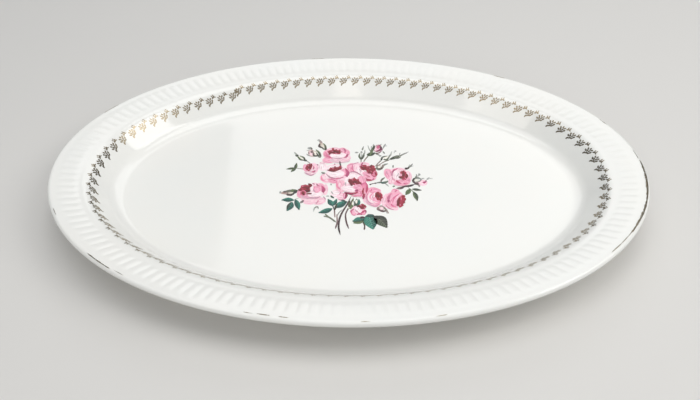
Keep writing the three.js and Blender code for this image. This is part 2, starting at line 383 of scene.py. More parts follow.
def angle_at(lengths, place):
    """The angle at a length along the oval, from its arc table."""
    place %= lengths[-1]
    low, high = 0, len(lengths) - 1
    while high - low > 1:
        middle = (low + high) // 2
        if lengths[middle] <= place:
            low = middle
        else:
            high = middle
    within = (place - lengths[low]) / (lengths[high] - lengths[low])
    return 2 * math.pi * (low + within) / (len(lengths) - 1)


def oval_point(inset, height, angle):
    """A point of the china in metres."""
    half_length, half_width = oval(inset)
    return Vector((half_length * math.cos(angle), half_width * math.sin(angle), height)) * MM


lip_lengths = arc_table(0)
print(f"lip {lip_lengths[-1]:.0f} mm round, flutes {lip_lengths[-1] / FLUTES:.2f} mm apart")

# %% The body, extruded ring by ring
COLUMNS_PER_FLUTE = 6
COLUMNS = FLUTES * COLUMNS_PER_FLUTE
# The rings that close the floor and the base, each as a share of the ring at its edge.
FLOOR_RINGS = (0.93, 0.8, 0.6, 0.4, 0.2, 0.05)
BASE_RINGS = (0.93, 0.7, 0.35, 0.05)
column_angles = [angle_at(lip_lengths, lip_lengths[-1] * i / COLUMNS) for i in range(COLUMNS)]


def extrude_to(start, end):
    """Extrudes the selected ring from one station to the next, and resizes it to the new oval."""
    (length_a, width_a), (length_b, width_b) = oval(start[0]), oval(end[0])
    bpy.ops.mesh.extrude_region_move(TRANSFORM_OT_translate={"value": (0, 0, (end[1] - start[1]) * MM)})
    bpy.ops.transform.resize(value=(length_b / length_a, width_b / width_a, 1),
                             center_override=(0, 0, end[1] * MM))


def close_flat(height, shares):
    """Shrinks the selected ring to the middle of a flat floor, and closes it there."""
    done = 1
    for share in shares:
        bpy.ops.mesh.extrude_region_move()
        bpy.ops.transform.resize(value=(share / done, share / done, 1), center_override=(0, 0, height * MM))
        done = share
    bpy.ops.mesh.merge(type="CENTER")


def make_body():
    """Closes the floor from the section's first ring, then extrudes that ring along the section."""
    bpy.ops.object.select_all(action="DESELECT")
    bpy.ops.mesh.primitive_circle_add(vertices=COLUMNS, radius=1, fill_type="NOTHING")
    body = bpy.context.object
    for vertex, angle in zip(body.data.vertices, column_angles):
        vertex.co = oval_point(*section[0], angle)
    edit(body)
    bpy.ops.mesh.select_all(action="SELECT")
    close_flat(FLOOR, FLOOR_RINGS)
    bpy.ops.mesh.select_all(action="DESELECT")
    leave_edit()
    for vertex in body.data.vertices[:COLUMNS]:
        vertex.select = True
    bpy.ops.object.mode_set(mode="EDIT")
    for start, end in zip(section, section[1:]):
        extrude_to(start, end)
    close_flat(BASE, BASE_RINGS)
    bpy.ops.mesh.select_all(action="SELECT")
    bpy.ops.mesh.normals_make_consistent(inside=False)
    leave_edit()
    return body


body = make_body()
print(f"body {len(body.data.vertices)} vertices, {len(body.data.polygons)} faces")

# %% [markdown]
# ## The flutes
#
# The rim is reeded: rows of rounded ribs with narrow grooves between them, pressed by the mould. A
# rib stands three tenths of a millimetre proud, and fades out before the lip and before the plain
# band above the well. A vertex group holds how high each point should stand, and a Displace
# modifier lifts it.

# %% Flutes by a vertex group and Displace
FLUTE_RELIEF = 0.3
FLUTE_ROUNDNESS = 0.8
FLUTE_RUN_OUT = 3.0


def flute_weight(inset, share):
    """How high the flutes stand at an inset and at a share of the way round the lip."""
    run_in = min(max((inset - FLUTES_START) / FLUTE_RUN_OUT, 0), 1)
    run_out = min(max((FLUTES_END - inset) / FLUTE_RUN_OUT, 0), 1)
    fade = math.sin(min(run_in, run_out) * math.pi / 2) ** 2
    return fade * abs(math.cos(math.pi * share * FLUTES)) ** FLUTE_ROUNDNESS


def inset_of(point):
    """The inset of the oval that passes through a point, by halving."""
    low, high = -1, 60
    for _ in range(24):
        middle = (low + high) / 2
        half_length, half_width = oval(middle)
        if math.hypot(point.x / MM / half_length, point.y / MM / half_width) < 1:
            low = middle
        else:
            high = middle
    return (low + high) / 2


def flute(body):
    group = body.vertex_groups.new(name="flutes")
    lowest = rim_height(FLUTES_END) - 0.5
    for vertex in body.data.vertices:
        if vertex.co.z / MM < lowest or vertex.normal.z < 0.5:
            continue
        inset = inset_of(vertex.co)
        if FLUTES_START < inset < FLUTES_END:
            half_length, half_width = oval(inset)
            angle = math.atan2(vertex.co.y / half_width, vertex.co.x / half_length) % (2 * math.pi)
            steps = angle / (2 * math.pi) * (len(lip_lengths) - 1)
            along = lip_lengths[min(round(steps), len(lip_lengths) - 1)] / lip_lengths[-1]
            group.add([vertex.index], flute_weight(inset, along), "REPLACE")
    modify(body, "DISPLACE", direction="Z", mid_level=0, strength=FLUTE_RELIEF * MM, vertex_group="flutes")
    body.vertex_groups.clear()


flute(body)
only(body)
bpy.ops.object.shade_smooth()
body = joined("fluted_china", [body])
finish_piece(body, china_material, ["platter_body"])
print(f"{FLUTES} flutes, {FLUTE_RELIEF} mm proud")

# %% [markdown]
# ## Fired gold
#
# Liquid bright gold is printed or brushed over the glaze and fired again. It is only a few hundredths
# of a millimetre thick, so it has no body of its own: it mirrors the room, darker and browner where
# it is thin. Decades of washing have dulled it and rubbed it through in spots.

# %% Fired gold material
RUB_SIZE = 0.9


def fired_gold(name, rubbed):
    """Worn gold. The share that is rubbed is where the white glaze shows through."""
    material, tree, shader = new_material(name)
    place = add(tree, "ShaderNodeTexCoord", {}).outputs["Object"]
    tone = add(tree, "ShaderNodeTexNoise", {"Vector": place, "Scale": 1 / (9 * MM), "Detail": 2})
    golds = add(tree, "ShaderNodeMix", {"Factor": tone, "A": linear("#9C8C70"), "B": linear("#878071")},
                data_type="RGBA")
    rub = add(tree, "ShaderNodeTexNoise", {"Vector": place, "Scale": 1 / (RUB_SIZE * MM), "Detail": 5,
                                           "Roughness": 0.7})
    bare = add(tree, "ShaderNodeMapRange", {"Value": rub, "From Min": 0.72 - rubbed,
                                            "From Max": 0.78 - rubbed})
    colour = add(tree, "ShaderNodeMix", {"Factor": bare, "A": golds, "B": linear("#EFEDE6")},
                 data_type="RGBA")
    metal = add(tree, "ShaderNodeMapRange", {"Value": bare, "To Min": 1, "To Max": 0})
    rough = add(tree, "ShaderNodeMapRange", {"Value": rub, "To Min": 0.18, "To Max": 0.42})
    feed(tree, shader, {"Base Color": colour, "Metallic": metal, "Roughness": rough})
    return material


sprig_gold = fired_gold("bright_gold_printed_and_fired", 0.10)
lip_gold = fired_gold("bright_gold_brushed_and_worn", 0.16)
print("materials", sprig_gold.name, lip_gold.name)

# %% [markdown]
# ## The gold sprigs
#
# The border is a transfer: ninety-six sprigs of ten small leaflets climb the top of the well's
# wall, each with a smaller sprig of five leaflets beside its tip that reaches over the shoulder.
# One sprig is made flat, from a leaflet that is pressed out of a circle. Copies are then laid on
# the china. The border wanders a little up and down the wall, and its two ends overlap at the back
# left.

# %% One flat sprig
# Each leaflet: how far right and how far up its middle is, its length and width, and its turn.
LEAFLETS = (
    (-1.30, 1.7, 2.4, 1.16, 76),
    (-0.05, 2.7, 2.3, 1.04, 58),
    (-2.00, 3.7, 2.0, 1.22, 146),
    (-0.80, 4.2, 2.3, 1.10, 112),
    (1.25, 3.1, 1.9, 1.04, 44),
    (1.90, 4.5, 2.1, 1.22, 66),
    (0.50, 4.6, 2.3, 1.04, 82),
    (-1.55, 5.5, 1.9, 1.10, 132),
    (-0.25, 6.3, 1.9, 1.10, 104),
    (1.25, 6.1, 1.9, 1.16, 56),
    (3.20, 6.4, 2.1, 1.17, 40),
    (4.15, 7.1, 1.8, 1.10, 60),
    (2.85, 7.6, 1.6, 0.85, 112),
    (4.85, 6.5, 1.3, 0.72, 8),
    (3.85, 8.3, 1.3, 0.72, 95),
)


def flat_leaflet(right, up, length, width, degrees):
    """A small pointed leaflet, lying flat, in the sprig's own millimetres."""
    bpy.ops.object.select_all(action="DESELECT")
    bpy.ops.mesh.primitive_circle_add(vertices=10, radius=0.5, fill_type="TRIFAN")
    leaflet = bpy.context.object
    turn = Matrix.Rotation(math.radians(degrees), 2)
    for vertex in leaflet.data.vertices:
        x, y = vertex.co.x, vertex.co.y
        point = turn @ Vector((x * length, y * width * (1 - 0.5 * abs(2 * x) ** 2)))
        vertex.co = (right + point.x, up + point.y, 0)
    return leaflet


sprig = joined("flat_sprig", [flat_leaflet(*leaflet) for leaflet in LEAFLETS])
print(f"one sprig, {len(sprig.data.polygons)} faces")

# %% Laying a flat shape on the china
# The climb of the section, from below the sprigs up over the shoulder. Lengths up the climb are
# counted from SPRIG_BOTTOM, so those between CLIMB_FOOT and it are negative.
SPRIG_BOTTOM = 27.8
CLIMB_FOOT = 31.0
climb = [(CLIMB_FOOT, wall_height(CLIMB_FOOT)), (SPRIG_BOTTOM, wall_height(SPRIG_BOTTOM))]
climb += [point for point in wall_up + shoulder + rim if point[0] < SPRIG_BOTTOM]
climb_lengths = [math.hypot(1, WALL_FALL) * (SPRIG_BOTTOM - CLIMB_FOOT)]
for (inset_a, height_a), (inset_b, height_b) in zip(climb, climb[1:]):
    climb_lengths.append(climb_lengths[-1] + math.hypot(inset_b - inset_a, height_b - height_a))


def climb_point(length):
    """The inset and height at a length up the climb, and the way off the china as inset and height."""
    k = max(i for i, reached in enumerate(climb_lengths[:-1]) if reached <= length)
    share = (length - climb_lengths[k]) / (climb_lengths[k + 1] - climb_lengths[k])
    (inset_a, height_a), (inset_b, height_b) = climb[k], climb[k + 1]
    run, rise = inset_b - inset_a, height_b - height_a
    step = math.hypot(run, rise)
    return inset_a + run * share, height_a + rise * share, rise / step, -run / step


SPRIG_RING = 25.65
ring_lengths = arc_table(SPRIG_RING)


def on_wall(place, right, up, lift):
    """Where a flat point goes: right of a place on the ring of sprigs, up the wall, and off it."""
    angle = angle_at(ring_lengths, place - right)
    inset, height, off_inset, off_height = climb_point(up)
    return oval_point(inset + off_inset * lift, height + off_height * lift, angle)


# %% The sprig border
SPRIGS = 96
# Millimetres along the ring of sprigs, from one to the next, and from the right end to the join.
SPRIG_PITCH = 8.32
JOIN_PLACE = 278.1
# How far up the wall the border sits, from place to place: sprig number, and millimetres.
WANDER = ((0, 0.0), (6, 0.2), (14, 0.9), (19, 0.8), (24, 0.0), (30, 0.5), (38, 0.0), (46, -0.9),
          (62, -0.9), (70, -0.2), (77, 0.3), (84, -0.9), (91, -2.5), (96, -2.7))
STRIPS = 8
GOLD_LIFT = 0.05
GOLD_THICKNESS = 0.06


def wander_at(number):
    """How far up the wall a sprig sits."""
    for (first, low), (last, high) in zip(WANDER, WANDER[1:]):
        if number <= last:
            return low + (high - low) * (number - first) / (last - first)


def lay_sprig(number):
    """A copy of the flat sprig, laid on the china at its place in the border."""
    copy = sprig.copy()
    copy.data = sprig.data.copy()
    bpy.context.collection.objects.link(copy)
    place = JOIN_PLACE - number * SPRIG_PITCH
    for vertex in copy.data.vertices:
        vertex.co = on_wall(place, vertex.co.x, vertex.co.y + wander_at(number), GOLD_LIFT)
    return copy


for strip in range(STRIPS):
    first = strip * SPRIGS // STRIPS
    parts = [lay_sprig(number) for number in range(first, first + SPRIGS // STRIPS)]
    # The transfer starts in the measured model's third strip and runs clockwise.
    node = f"gold_sprig_strip_{(2 - strip) % STRIPS + 1}"
    border = joined(f"sprigs_{strip + 1}", parts)
    modify(border, "SOLIDIFY", thickness=GOLD_THICKNESS * MM, offset=-1)
    finish_piece(border, sprig_gold, [node])
bpy.data.objects.remove(sprig)
print(f"{SPRIGS} sprigs in {STRIPS} strips")

# %% [markdown]
# ## The gilt line
#
# A line of gold was brushed along the lip. It is the first thing to wear, because the lip is what
# hands and other plates touch. A long stretch is left at the right end, with broken edges, and
# short thin dashes elsewhere. Each stretch is a plane, cut along its length and bent over the lip.

# %% Gilt stretches
# Each stretch: where it starts and ends, in degrees round the oval, its middle on the lip, in
# degrees over it, and its full width in millimetres.
GILT_STRETCHES = (
    (-13.5, 2.5, 101, 1.10),
    (-29, -12.5, 92, 0.95),
    (-37.5, -28, 86, 0.45),
    (3, 7, 101, 0.35),
    (-101, -99.3, 84, 0.55),
    (-104.6, -102.4, 82, 0.60),
    (-106.8, -105.2, 84, 0.40),
    (-88, -86.4, 100, 0.35),
    (-76, -74, 98, 0.40),
    (-141, -134, 102, 0.45),
    (-133, -130.5, 100, 0.30),
    (-160, -157, 98, 0.30),
    (20, 23, 98, 0.30),
    (52, 55, 96, 0.30),
    (96, 99, 96, 0.25),
    (150, 155, 98, 0.30),
)
GILT_STEP = 0.35


def gilt_stretch(start, end, over, width):
    """A stretch of gold on the lip, widest in its middle, with edges that wander as brushing does."""
    first, last = (lip_lengths[round((degrees % 360) * 10)] for degrees in (start, end))
    length = (last - first) % lip_lengths[-1]
    steps = max(6, round(length / GILT_STEP))
    bpy.ops.object.select_all(action="DESELECT")
    bpy.ops.mesh.primitive_grid_add(x_subdivisions=steps, y_subdivisions=6, size=2)
    stretch = bpy.context.object
    random.seed(round(start * 10) + 5000)
    phases = [random.uniform(0, 2 * math.pi) for _ in range(4)]
    for vertex in stretch.data.vertices:
        along, across = (vertex.co.x + 1) / 2, vertex.co.y
        place = along * length
        wander = (0.16 * math.sin(place / 1.3 + phases[0]) + 0.12 * math.sin(place / 0.55 + phases[1])
                  + 0.22 * math.sin(place / 7 + phases[2]))
        taper = min(1, along * steps / 5, (1 - along) * steps / 5) ** 0.6
        reach = across * width / 2 * taper * (1 + wander * (1.6 if across < 0 else 0.7))
        middle = over + 5 * math.sin(place / 11 + phases[3])
        inset, height = lip_point(middle + math.degrees(reach / LIP_RADIUS), GOLD_LIFT)
        vertex.co = oval_point(inset, height, angle_at(lip_lengths, first + place))
    return stretch


gilt = joined("worn_gilt_line", [gilt_stretch(*stretch) for stretch in GILT_STRETCHES])
modify(gilt, "SOLIDIFY", thickness=GOLD_THICKNESS * MM, offset=-1)
only(gilt)
bpy.ops.object.shade_smooth()
finish_piece(gilt, lip_gold, ["gilt_lip_line"])
print(f"{len(GILT_STRETCHES)} stretches of gold left on the lip")

# %% [markdown]
# ## Overglaze enamel
#
# The bouquet is a transfer printed in ceramic enamels over the glaze: pale pink washes, deeper pink
# folds and crimson hearts, teal and olive leaves, purple-brown stems. Each mark carries its own
# colours as an attribute on its points, the way a painter shades a petal from its middle to its rim.
# The finish adds the fine stipple of the print, whose dots are a third of a millimetre apart, the
# uneven pooling of the colour, and the gloss of the fired enamel.

# %% Enamel material
STIPPLE_SIZE = 0.34
POOL_SIZE = 1.7


def enamel(name, strength):
    """Fired enamel that takes its colour from the points, broken up by a stipple of that strength."""
    material, tree, shader = new_material(name)
    place = add(tree, "ShaderNodeTexCoord", {}).outputs["Object"]
    paint = add(tree, "ShaderNodeAttribute", {}, attribute_name="paint").outputs["Color"]
    dots = add(tree, "ShaderNodeTexVoronoi", {"Vector": place, "Scale": 1 / (STIPPLE_SIZE * MM)})
    grain = add(tree, "ShaderNodeMapRange", {"Value": dots.outputs["Distance"], "From Max": 0.8,
                                             "To Min": 1 - strength, "To Max": 1 + strength})
    wash = add(tree, "ShaderNodeTexNoise", {"Vector": place, "Scale": 1 / (POOL_SIZE * MM), "Detail": 3})
    pool = add(tree, "ShaderNodeMapRange", {"Value": wash, "From Min": 0.3, "From Max": 0.7,
                                            "To Min": 1 - strength, "To Max": 1 + strength})
    depth = add(tree, "ShaderNodeMath", {0: grain, 1: pool}, operation="MULTIPLY")
    colour = add(tree, "ShaderNodeVectorMath", {0: paint, "Scale": depth}, operation="SCALE")
    rough = add(tree, "ShaderNodeMapRange", {"Value": wash, "To Min": 0.12, "To Max": 0.24})
    raised = add(tree, "ShaderNodeBump", {"Height": wash, "Strength": 0.1, "Distance": 0.05 * MM})
    feed(tree, shader, {"Base Color": colour.outputs["Vector"], "Roughness": rough, "Normal": raised,
                        "IOR": 1.5})
    return material


pink_enamel = enamel("pink_enamel_printed_and_fired", 0.08)
leaf_enamel = enamel("green_enamel_printed_and_fired", 0.16)
bud_enamel = enamel("olive_enamel_printed_and_fired", 0.14)
stem_enamel = enamel("brown_enamel_printed_and_fired", 0.12)
print("enamels made")

# %% The painter's colours
WHITE = linear("#FBEDEF")
PALE = linear("#F9D6DE")
LIGHT = linear("#F3B3C8")
PINK = linear("#E788A6")
DEEP = linear("#CC527F")
PLUM = linear("#97375F")
MAUVE = linear("#C497A8")
RED = linear("#A82440")
CRIMSON = linear("#86101F")
DARK = linear("#5A0916")
CREAM = linear("#EEEBDD")
TAN = linear("#B59C8D")
DUSTY = linear("#A08682")
LEAD = linear("#8F908C")
SMOKE = linear("#C3C5C0")
TEAL = linear("#2B7A68")
DEEP_TEAL = linear("#164E46")
OLIVE = linear("#5D6F45")
LIGHT_TEAL = linear("#5E9C88")
DARK_OLIVE = linear("#3C4A33")
GREY_OLIVE = linear("#6B7060")
BLACK_LEAF = linear("#2B2F26")
BROWN = linear("#54393C")
DARK_BROWN = linear("#2E1F22")

# %% [markdown]
# ## Brush marks
#
# Everything in the bouquet is made of three marks: a round dab, a blade, and a stroke. A petal is a
# dab with four strokes for its folds, a rose's heart is a toothed dab crossed by short strokes, and
# a leaf is a blade with strokes for its ribs. Each mark has a flat blank that is made once, and a
# rule, which turns each point of the blank into a place on the floor of the well, in millimetres,
# and a colour. Each mark lies a few thousandths of a millimetre above the one before it.

# %% Blanks
ENAMEL_LIFT = 0.04
ENAMEL_THICKNESS = 0.03
LAYER = 0.006
ORDER_STEP = 0.16


def round_blank():
    """A disc of radius 1 with rings near its rim, so that a dab's edge can have its own colour."""
    bpy.ops.object.select_all(action="DESELECT")
    bpy.ops.mesh.primitive_circle_add(vertices=28, radius=1, fill_type="NGON")
    bpy.ops.object.mode_set(mode="EDIT")
    for rim in (0.1, 0.16, 0.24, 0.24):
        bpy.ops.mesh.inset(thickness=rim)
    bpy.ops.mesh.poke()
    leave_edit()
    return bpy.context.object


def long_blank(steps, rows):
    """A square of size 2, cut along its length and across it."""
    bpy.ops.object.select_all(action="DESELECT")
    bpy.ops.mesh.primitive_grid_add(x_subdivisions=steps, y_subdivisions=rows, size=2)
    return bpy.context.object


dab_blank = round_blank()
blade_blank = long_blank(14, 6)
stroke_blank = long_blank(14, 2)
print("three blanks")


# %% Marks
def dab(x, y, width, height, degrees, inside, rim):
    """An oval dab with a softly lobed edge. Its colour goes from inside to rim."""
    turn = math.radians(degrees)
    lobes = 0.7 * x + 1.3 * y

    def rule(u, v):
        reach = math.hypot(u, v)
        angle = math.atan2(v, u)
        wave = 1 + 0.045 * reach * (math.sin(3 * angle + lobes) + 0.5 * math.sin(5 * angle - lobes))
        across, up = u * wave * width / 2, v * wave * height / 2
        colour = mixed(inside, rim, ((reach - 0.45) / 0.55 if reach > 0.45 else 0) ** 1.3)
        return (x + across * math.cos(turn) - up * math.sin(turn),
                y + across * math.sin(turn) + up * math.cos(turn), colour)
    return dab_blank, rule


# Each fold: how far it lies to one side of the petal's middle, and where it starts and ends.
PETAL_FOLDS = ((-0.62, -0.5, 0.55), (-0.2, -0.75, 0.3), (0.3, -0.35, 0.8), (0.68, -0.55, 0.45))


def petal(x, y, width, height, degrees, inside, rim):
    """A dab with a pale rim, and thin curved folds that follow its longer way."""
    turn = math.radians(degrees)
    fold = mixed(rim, PLUM, 0.34)
    blank, rule_of_dab = dab(x, y, width, height, degrees, inside, rim)

    def rule(u, v):
        across, up, colour = rule_of_dab(u, v)
        edge = max(0, (math.hypot(u, v) - 0.82) / 0.18)
        return across, up, mixed(colour, WHITE, 0.5 * edge)

    def inside_petal(across, up):
        if height > width:
            across, up = up, across
        across, up = across * width / 2, up * height / 2
        return (x + across * math.cos(turn) - up * math.sin(turn),
                y + across * math.sin(turn) + up * math.cos(turn))

    marks = [(blank, rule)]
    for side, start, end in PETAL_FOLDS:
        path = [inside_petal(start + (end - start) * share, side * (1.15 - 0.9 * (share - 0.5) ** 2))
                for share in (0, 0.5, 1)]
        marks.append(stroke(*path, widths=(0.1, 0.5, 0.1), first=fold, last=mixed(fold, rim, 0.6)))
    return marks


def heart(x, y, width, height, degrees, inside, rim):
    """The deep middle of a rose: a toothed dab, crossed by short dark and light strokes."""
    turn = math.radians(degrees)
    random.seed(round(100 * abs(x) + 10 * abs(y)))
    shift = random.uniform(0, 6)
    soft, rule_of_dab = dab(x, y, width * 0.92, height * 0.92, degrees, inside, rim)

    def rule(u, v):
        reach, angle = math.hypot(u, v), math.atan2(v, u)
        tooth = 1 + reach * (0.06 * math.sin(7 * angle + shift) + 0.07 * math.sin(4 * angle - 2 * shift))
        return rule_of_dab(u * tooth, v * tooth)

    marks = [(soft, rule)]
    for number in range(9):
        way = 2 * math.pi * (number + random.uniform(-0.3, 0.3)) / 9
        near, far = random.uniform(0.1, 0.5), random.uniform(0.75, 1.15)
        tone = (DARK, RED, CRIMSON, PINK)[number % 4]
        path = []
        for reach, swing in ((near, way), ((near + far) / 2, way + 0.25), (far, way + 0.3)):
            across, up = reach * math.cos(swing) * width / 2, reach * math.sin(swing) * height / 2
            path.append((x + across * math.cos(turn) - up * math.sin(turn),
                         y + across * math.sin(turn) + up * math.cos(turn)))
        marks.append(stroke(*path, widths=(0.2, 0.62, 0.15), first=tone, last=mixed(tone, RED, 0.5)))
    return marks


def curve_point(points, along):
    """A point, and the direction there, on the smooth curve through all the points."""
    spans = len(points) - 1
    k = min(int(along * spans), spans - 1)
    t = along * spans - k
    row = (points[max(k - 1, 0)], points[k], points[k + 1], points[min(k + 2, spans)])
    place, pace = [], []
    for a, b, c, d in zip(*row):
        lean_b, lean_c = (c - a) / 2, (d - b) / 2
        square, cube = 3 * (c - b) - 2 * lean_b - lean_c, 2 * (b - c) + lean_b + lean_c
        place.append(b + t * lean_b + t * t * square + t ** 3 * cube)
        pace.append(lean_b + 2 * t * square + 3 * t * t * cube)
    size = math.hypot(*pace) or 1
    return place[0], place[1], pace[0] / size, pace[1] / size


def stroke(*path, widths, first, last):
    """A stroke through points. Its width follows the widths, spread evenly from end to end."""
    def rule(u, v):
        along = (u + 1) / 2
        x, y, dx, dy = curve_point(path, along)
        place = along * (len(widths) - 1)
        k = min(int(place), len(widths) - 2)
        half = (widths[k] + (widths[k + 1] - widths[k]) * (place - k)) / 2
        half *= min(1, 7 * along + 0.15, 7 * (1 - along) + 0.15)
        return x - dy * half * v, y + dx * half * v, mixed(first, last, along)
    return stroke_blank, rule


def blade(base, tip, width, left, right, fullest=0.45, bend=0.0):
    """A pointed blade from base to tip. Its left half and right half have their own colours."""
    run, rise = tip[0] - base[0], tip[1] - base[1]

    def rule(u, v):
        along = (u + 1) / 2
        half = width / 2 * math.sin(math.pi * along ** (math.log(0.5) / math.log(fullest))) ** 0.95
        side = (half * v + bend * along * (1 - along)) / math.hypot(run, rise)
        colour = mixed(right, left, 0.5 + 4 * v)
        return base[0] + run * along - rise * side, base[1] + rise * along + run * side, colour
    return blade_blank, rule


def leaf(base, tip, width, left, right, vein, bend=0.0, ribs=4, fullest=0.45):
    """A leaf: a blade, its midrib, and pairs of side ribs that lean towards the tip."""
    marks = [blade(base, tip, width, left, right, fullest, bend)]
    run, rise = tip[0] - base[0], tip[1] - base[1]
    length = math.hypot(run, rise)

    def inside(along, side):
        side = (side * width / 2 + bend * along * (1 - along)) / length
        return base[0] + run * along - rise * side, base[1] + rise * along + run * side

    marks.append(stroke(inside(0, 0), inside(0.5, 0), inside(0.97, 0), widths=(0.5, 0.35, 0.2),
                        first=vein, last=vein))
    for rib in range(ribs):
        along = 0.16 + 0.62 * rib / max(ribs - 1, 1)
        for side in (-0.72, 0.72):
            reach = side * math.sin(math.pi * min(along + 0.12, 1)) ** 0.8
            marks.append(stroke(inside(along, 0), inside(along + 0.08, reach * 0.5),
                                inside(along + 0.19, reach),
                                widths=(0.3, 0.24, 0.12), first=vein, last=vein))
    return marks


# %% Painting
SHEET_STRETCH = 1.0375
SHEET_TURN = 0.01
SHEET_RIGHT = 0.3
SHEET_BACK = -1.45


def on_sheet(x, y):
    """A mark's place in millimetres, after a small stretch, turn and shift of the whole bouquet."""
    return x - SHEET_TURN * y + SHEET_RIGHT, y * SHEET_STRETCH + SHEET_TURN * x + SHEET_BACK


def painted(name, order, material, slot, nodes, *marks):
    """Lays the marks in turn on the floor of the well, and joins them into one piece."""
    flat = [mark for entry in marks for mark in (entry if isinstance(entry, list) else [entry])]
    parts = []
    for level, (blank, rule) in enumerate(flat):
        copy = blank.copy()
        copy.data = blank.data.copy()
        bpy.context.collection.objects.link(copy)
        paint = copy.data.color_attributes.new("paint", "FLOAT_COLOR", "POINT")
        height = FLOOR + ENAMEL_LIFT + order * ORDER_STEP + level * LAYER
        for vertex, dot in zip(copy.data.vertices, paint.data):
            x, y, colour = rule(vertex.co.x, vertex.co.y)
            vertex.co = Vector((*on_sheet(x, y), height)) * MM
            dot.color = colour
        parts.append(copy)
    piece = joined(name, parts)
    modify(piece, "SOLIDIFY", thickness=(ENAMEL_THICKNESS + order * ORDER_STEP) * MM, offset=-1)
    finish_piece(piece, material, nodes)
    print(f"{name}: {len(flat)} marks")


def paint_rose(node, order, *marks):
    painted(f"painted_{node}", order, pink_enamel, "pink_enamel", [node], *marks)


def paint_bud(node, *marks):
    painted(f"painted_{node}", 0, bud_enamel, "bud_enamel", [node], *marks)


def paint_leaves(node, *marks):
    painted(f"painted_{node}", 0, leaf_enamel, "green_enamel", [node], *marks)


def paint_stem(node, order, *marks):
    painted(f"painted_{node}", order, stem_enamel, "stem_enamel", [node], *marks)


# %% [markdown]
# ## The roses
#
# They are old cabbage roses. Each is built up as the engraver built it: the loose outer petals, the
# folds between them, the pale cup, and last the crimson heart with strokes that leave it like the
# edges of the inner petals. The central rose lies over its neighbours, so it is painted one order
# higher.

# %% Rose at the top
paint_rose(
    "rose_top", 0,
    petal(-9.0, 34.4, 11.5, 5.6, 0, PALE, LIGHT),
    petal(-4.4, 33.8, 6.4, 6.2, -30, LIGHT, PINK),
    petal(-14.0, 30.4, 6.2, 9.2, 10, LIGHT, PINK),
    petal(-12.8, 25.2, 9.2, 7.2, 20, LIGHT, PINK),
    petal(-6.0, 24.6, 13.0, 5.6, 0, PALE, MAUVE),
    petal(-1.8, 31.0, 4.6, 8.0, -10, LIGHT, PINK),
    petal(-2.3, 26.6, 7.0, 6.4, 20, PALE, LIGHT),
    stroke((-3.6, 36.0), (-2.4, 33.6), (-3.0, 31.0), widths=(0.3, 1.5, 0.4), first=PLUM, last=PINK),
    stroke((-0.6, 30.4), (-2.2, 28.0), (-5.4, 26.6), widths=(0.4, 2.4, 0.4), first=PLUM, last=DEEP),
    stroke((-15.5, 33.0), (-14.2, 28.6), (-10.4, 26.2), widths=(0.4, 2.2, 0.5), first=PINK, last=DEEP),
    petal(-7.3, 29.0, 10.5, 6.4, 5, WHITE, PALE),
    stroke((-11.5, 27.2), (-7.5, 25.9), (-3.6, 26.8), widths=(0.4, 0.8, 0.4), first=MAUVE, last=MAUVE),
    heart(-9.4, 32.4, 9.6, 4.6, -6, CRIMSON, RED),
    stroke((-10.6, 36.6), (-10.5, 34.8), (-10.0, 33.0), widths=(0.8, 1.7, 0.8), first=RED, last=CRIMSON),
    stroke((-14.4, 32.6), (-12.2, 32.4), (-10.0, 31.8), widths=(0.5, 1.5, 0.8), first=RED, last=DARK),
    stroke((-13.2, 29.8), (-12.6, 31.0), (-11.0, 32.0), widths=(0.8, 1.4, 0.8), first=CRIMSON, last=DARK),
    stroke((-10.6, 33.4), (-8.4, 32.4), (-6.0, 32.4), widths=(0.5, 1.6, 0.5), first=DARK, last=DARK),
    stroke((-8.8, 35.2), (-8.2, 33.9), (-7.6, 32.8), widths=(0.5, 1.1, 0.5), first=RED, last=CRIMSON),
    stroke((-6.0, 34.8), (-6.2, 33.4), (-6.8, 32.4), widths=(0.5, 1.2, 0.5), first=RED, last=CRIMSON),
)

# %% Small rose at the left
paint_rose(
    "rose_small_left", 0,
    petal(-24.2, 16.8, 9.5, 10.5, 0, PALE, LIGHT),
    petal(-25.0, 12.7, 7.5, 4.6, -8, PALE, MAUVE),
    dab(-28.0, 17.4, 3.4, 6.6, 10, LIGHT, PINK),
    stroke((-28.0, 12.6), (-24.8, 10.6), (-22.4, 11.4), widths=(0.3, 0.9, 0.4), first=MAUVE, last=PLUM),
    stroke((-23.1, 19.4), (-22.8, 17.6), (-23.4, 16.0), widths=(0.3, 1.1, 0.3), first=PINK, last=PLUM),
    stroke((-21.6, 15.0), (-22.6, 14.0), (-24.0, 13.4), widths=(0.5, 1.5, 0.4), first=PLUM, last=DEEP),
    heart(-26.0, 18.0, 4.6, 7.4, -12, CRIMSON, RED),
    stroke((-24.2, 21.4), (-25.0, 19.0), (-26.0, 16.4), widths=(0.6, 1.8, 0.6), first=CRIMSON, last=DARK),
    stroke((-20.9, 20.9), (-20.4, 20.2), (-20.0, 19.6), widths=(0.4, 1.0, 0.4), first=MAUVE, last=PLUM),
)

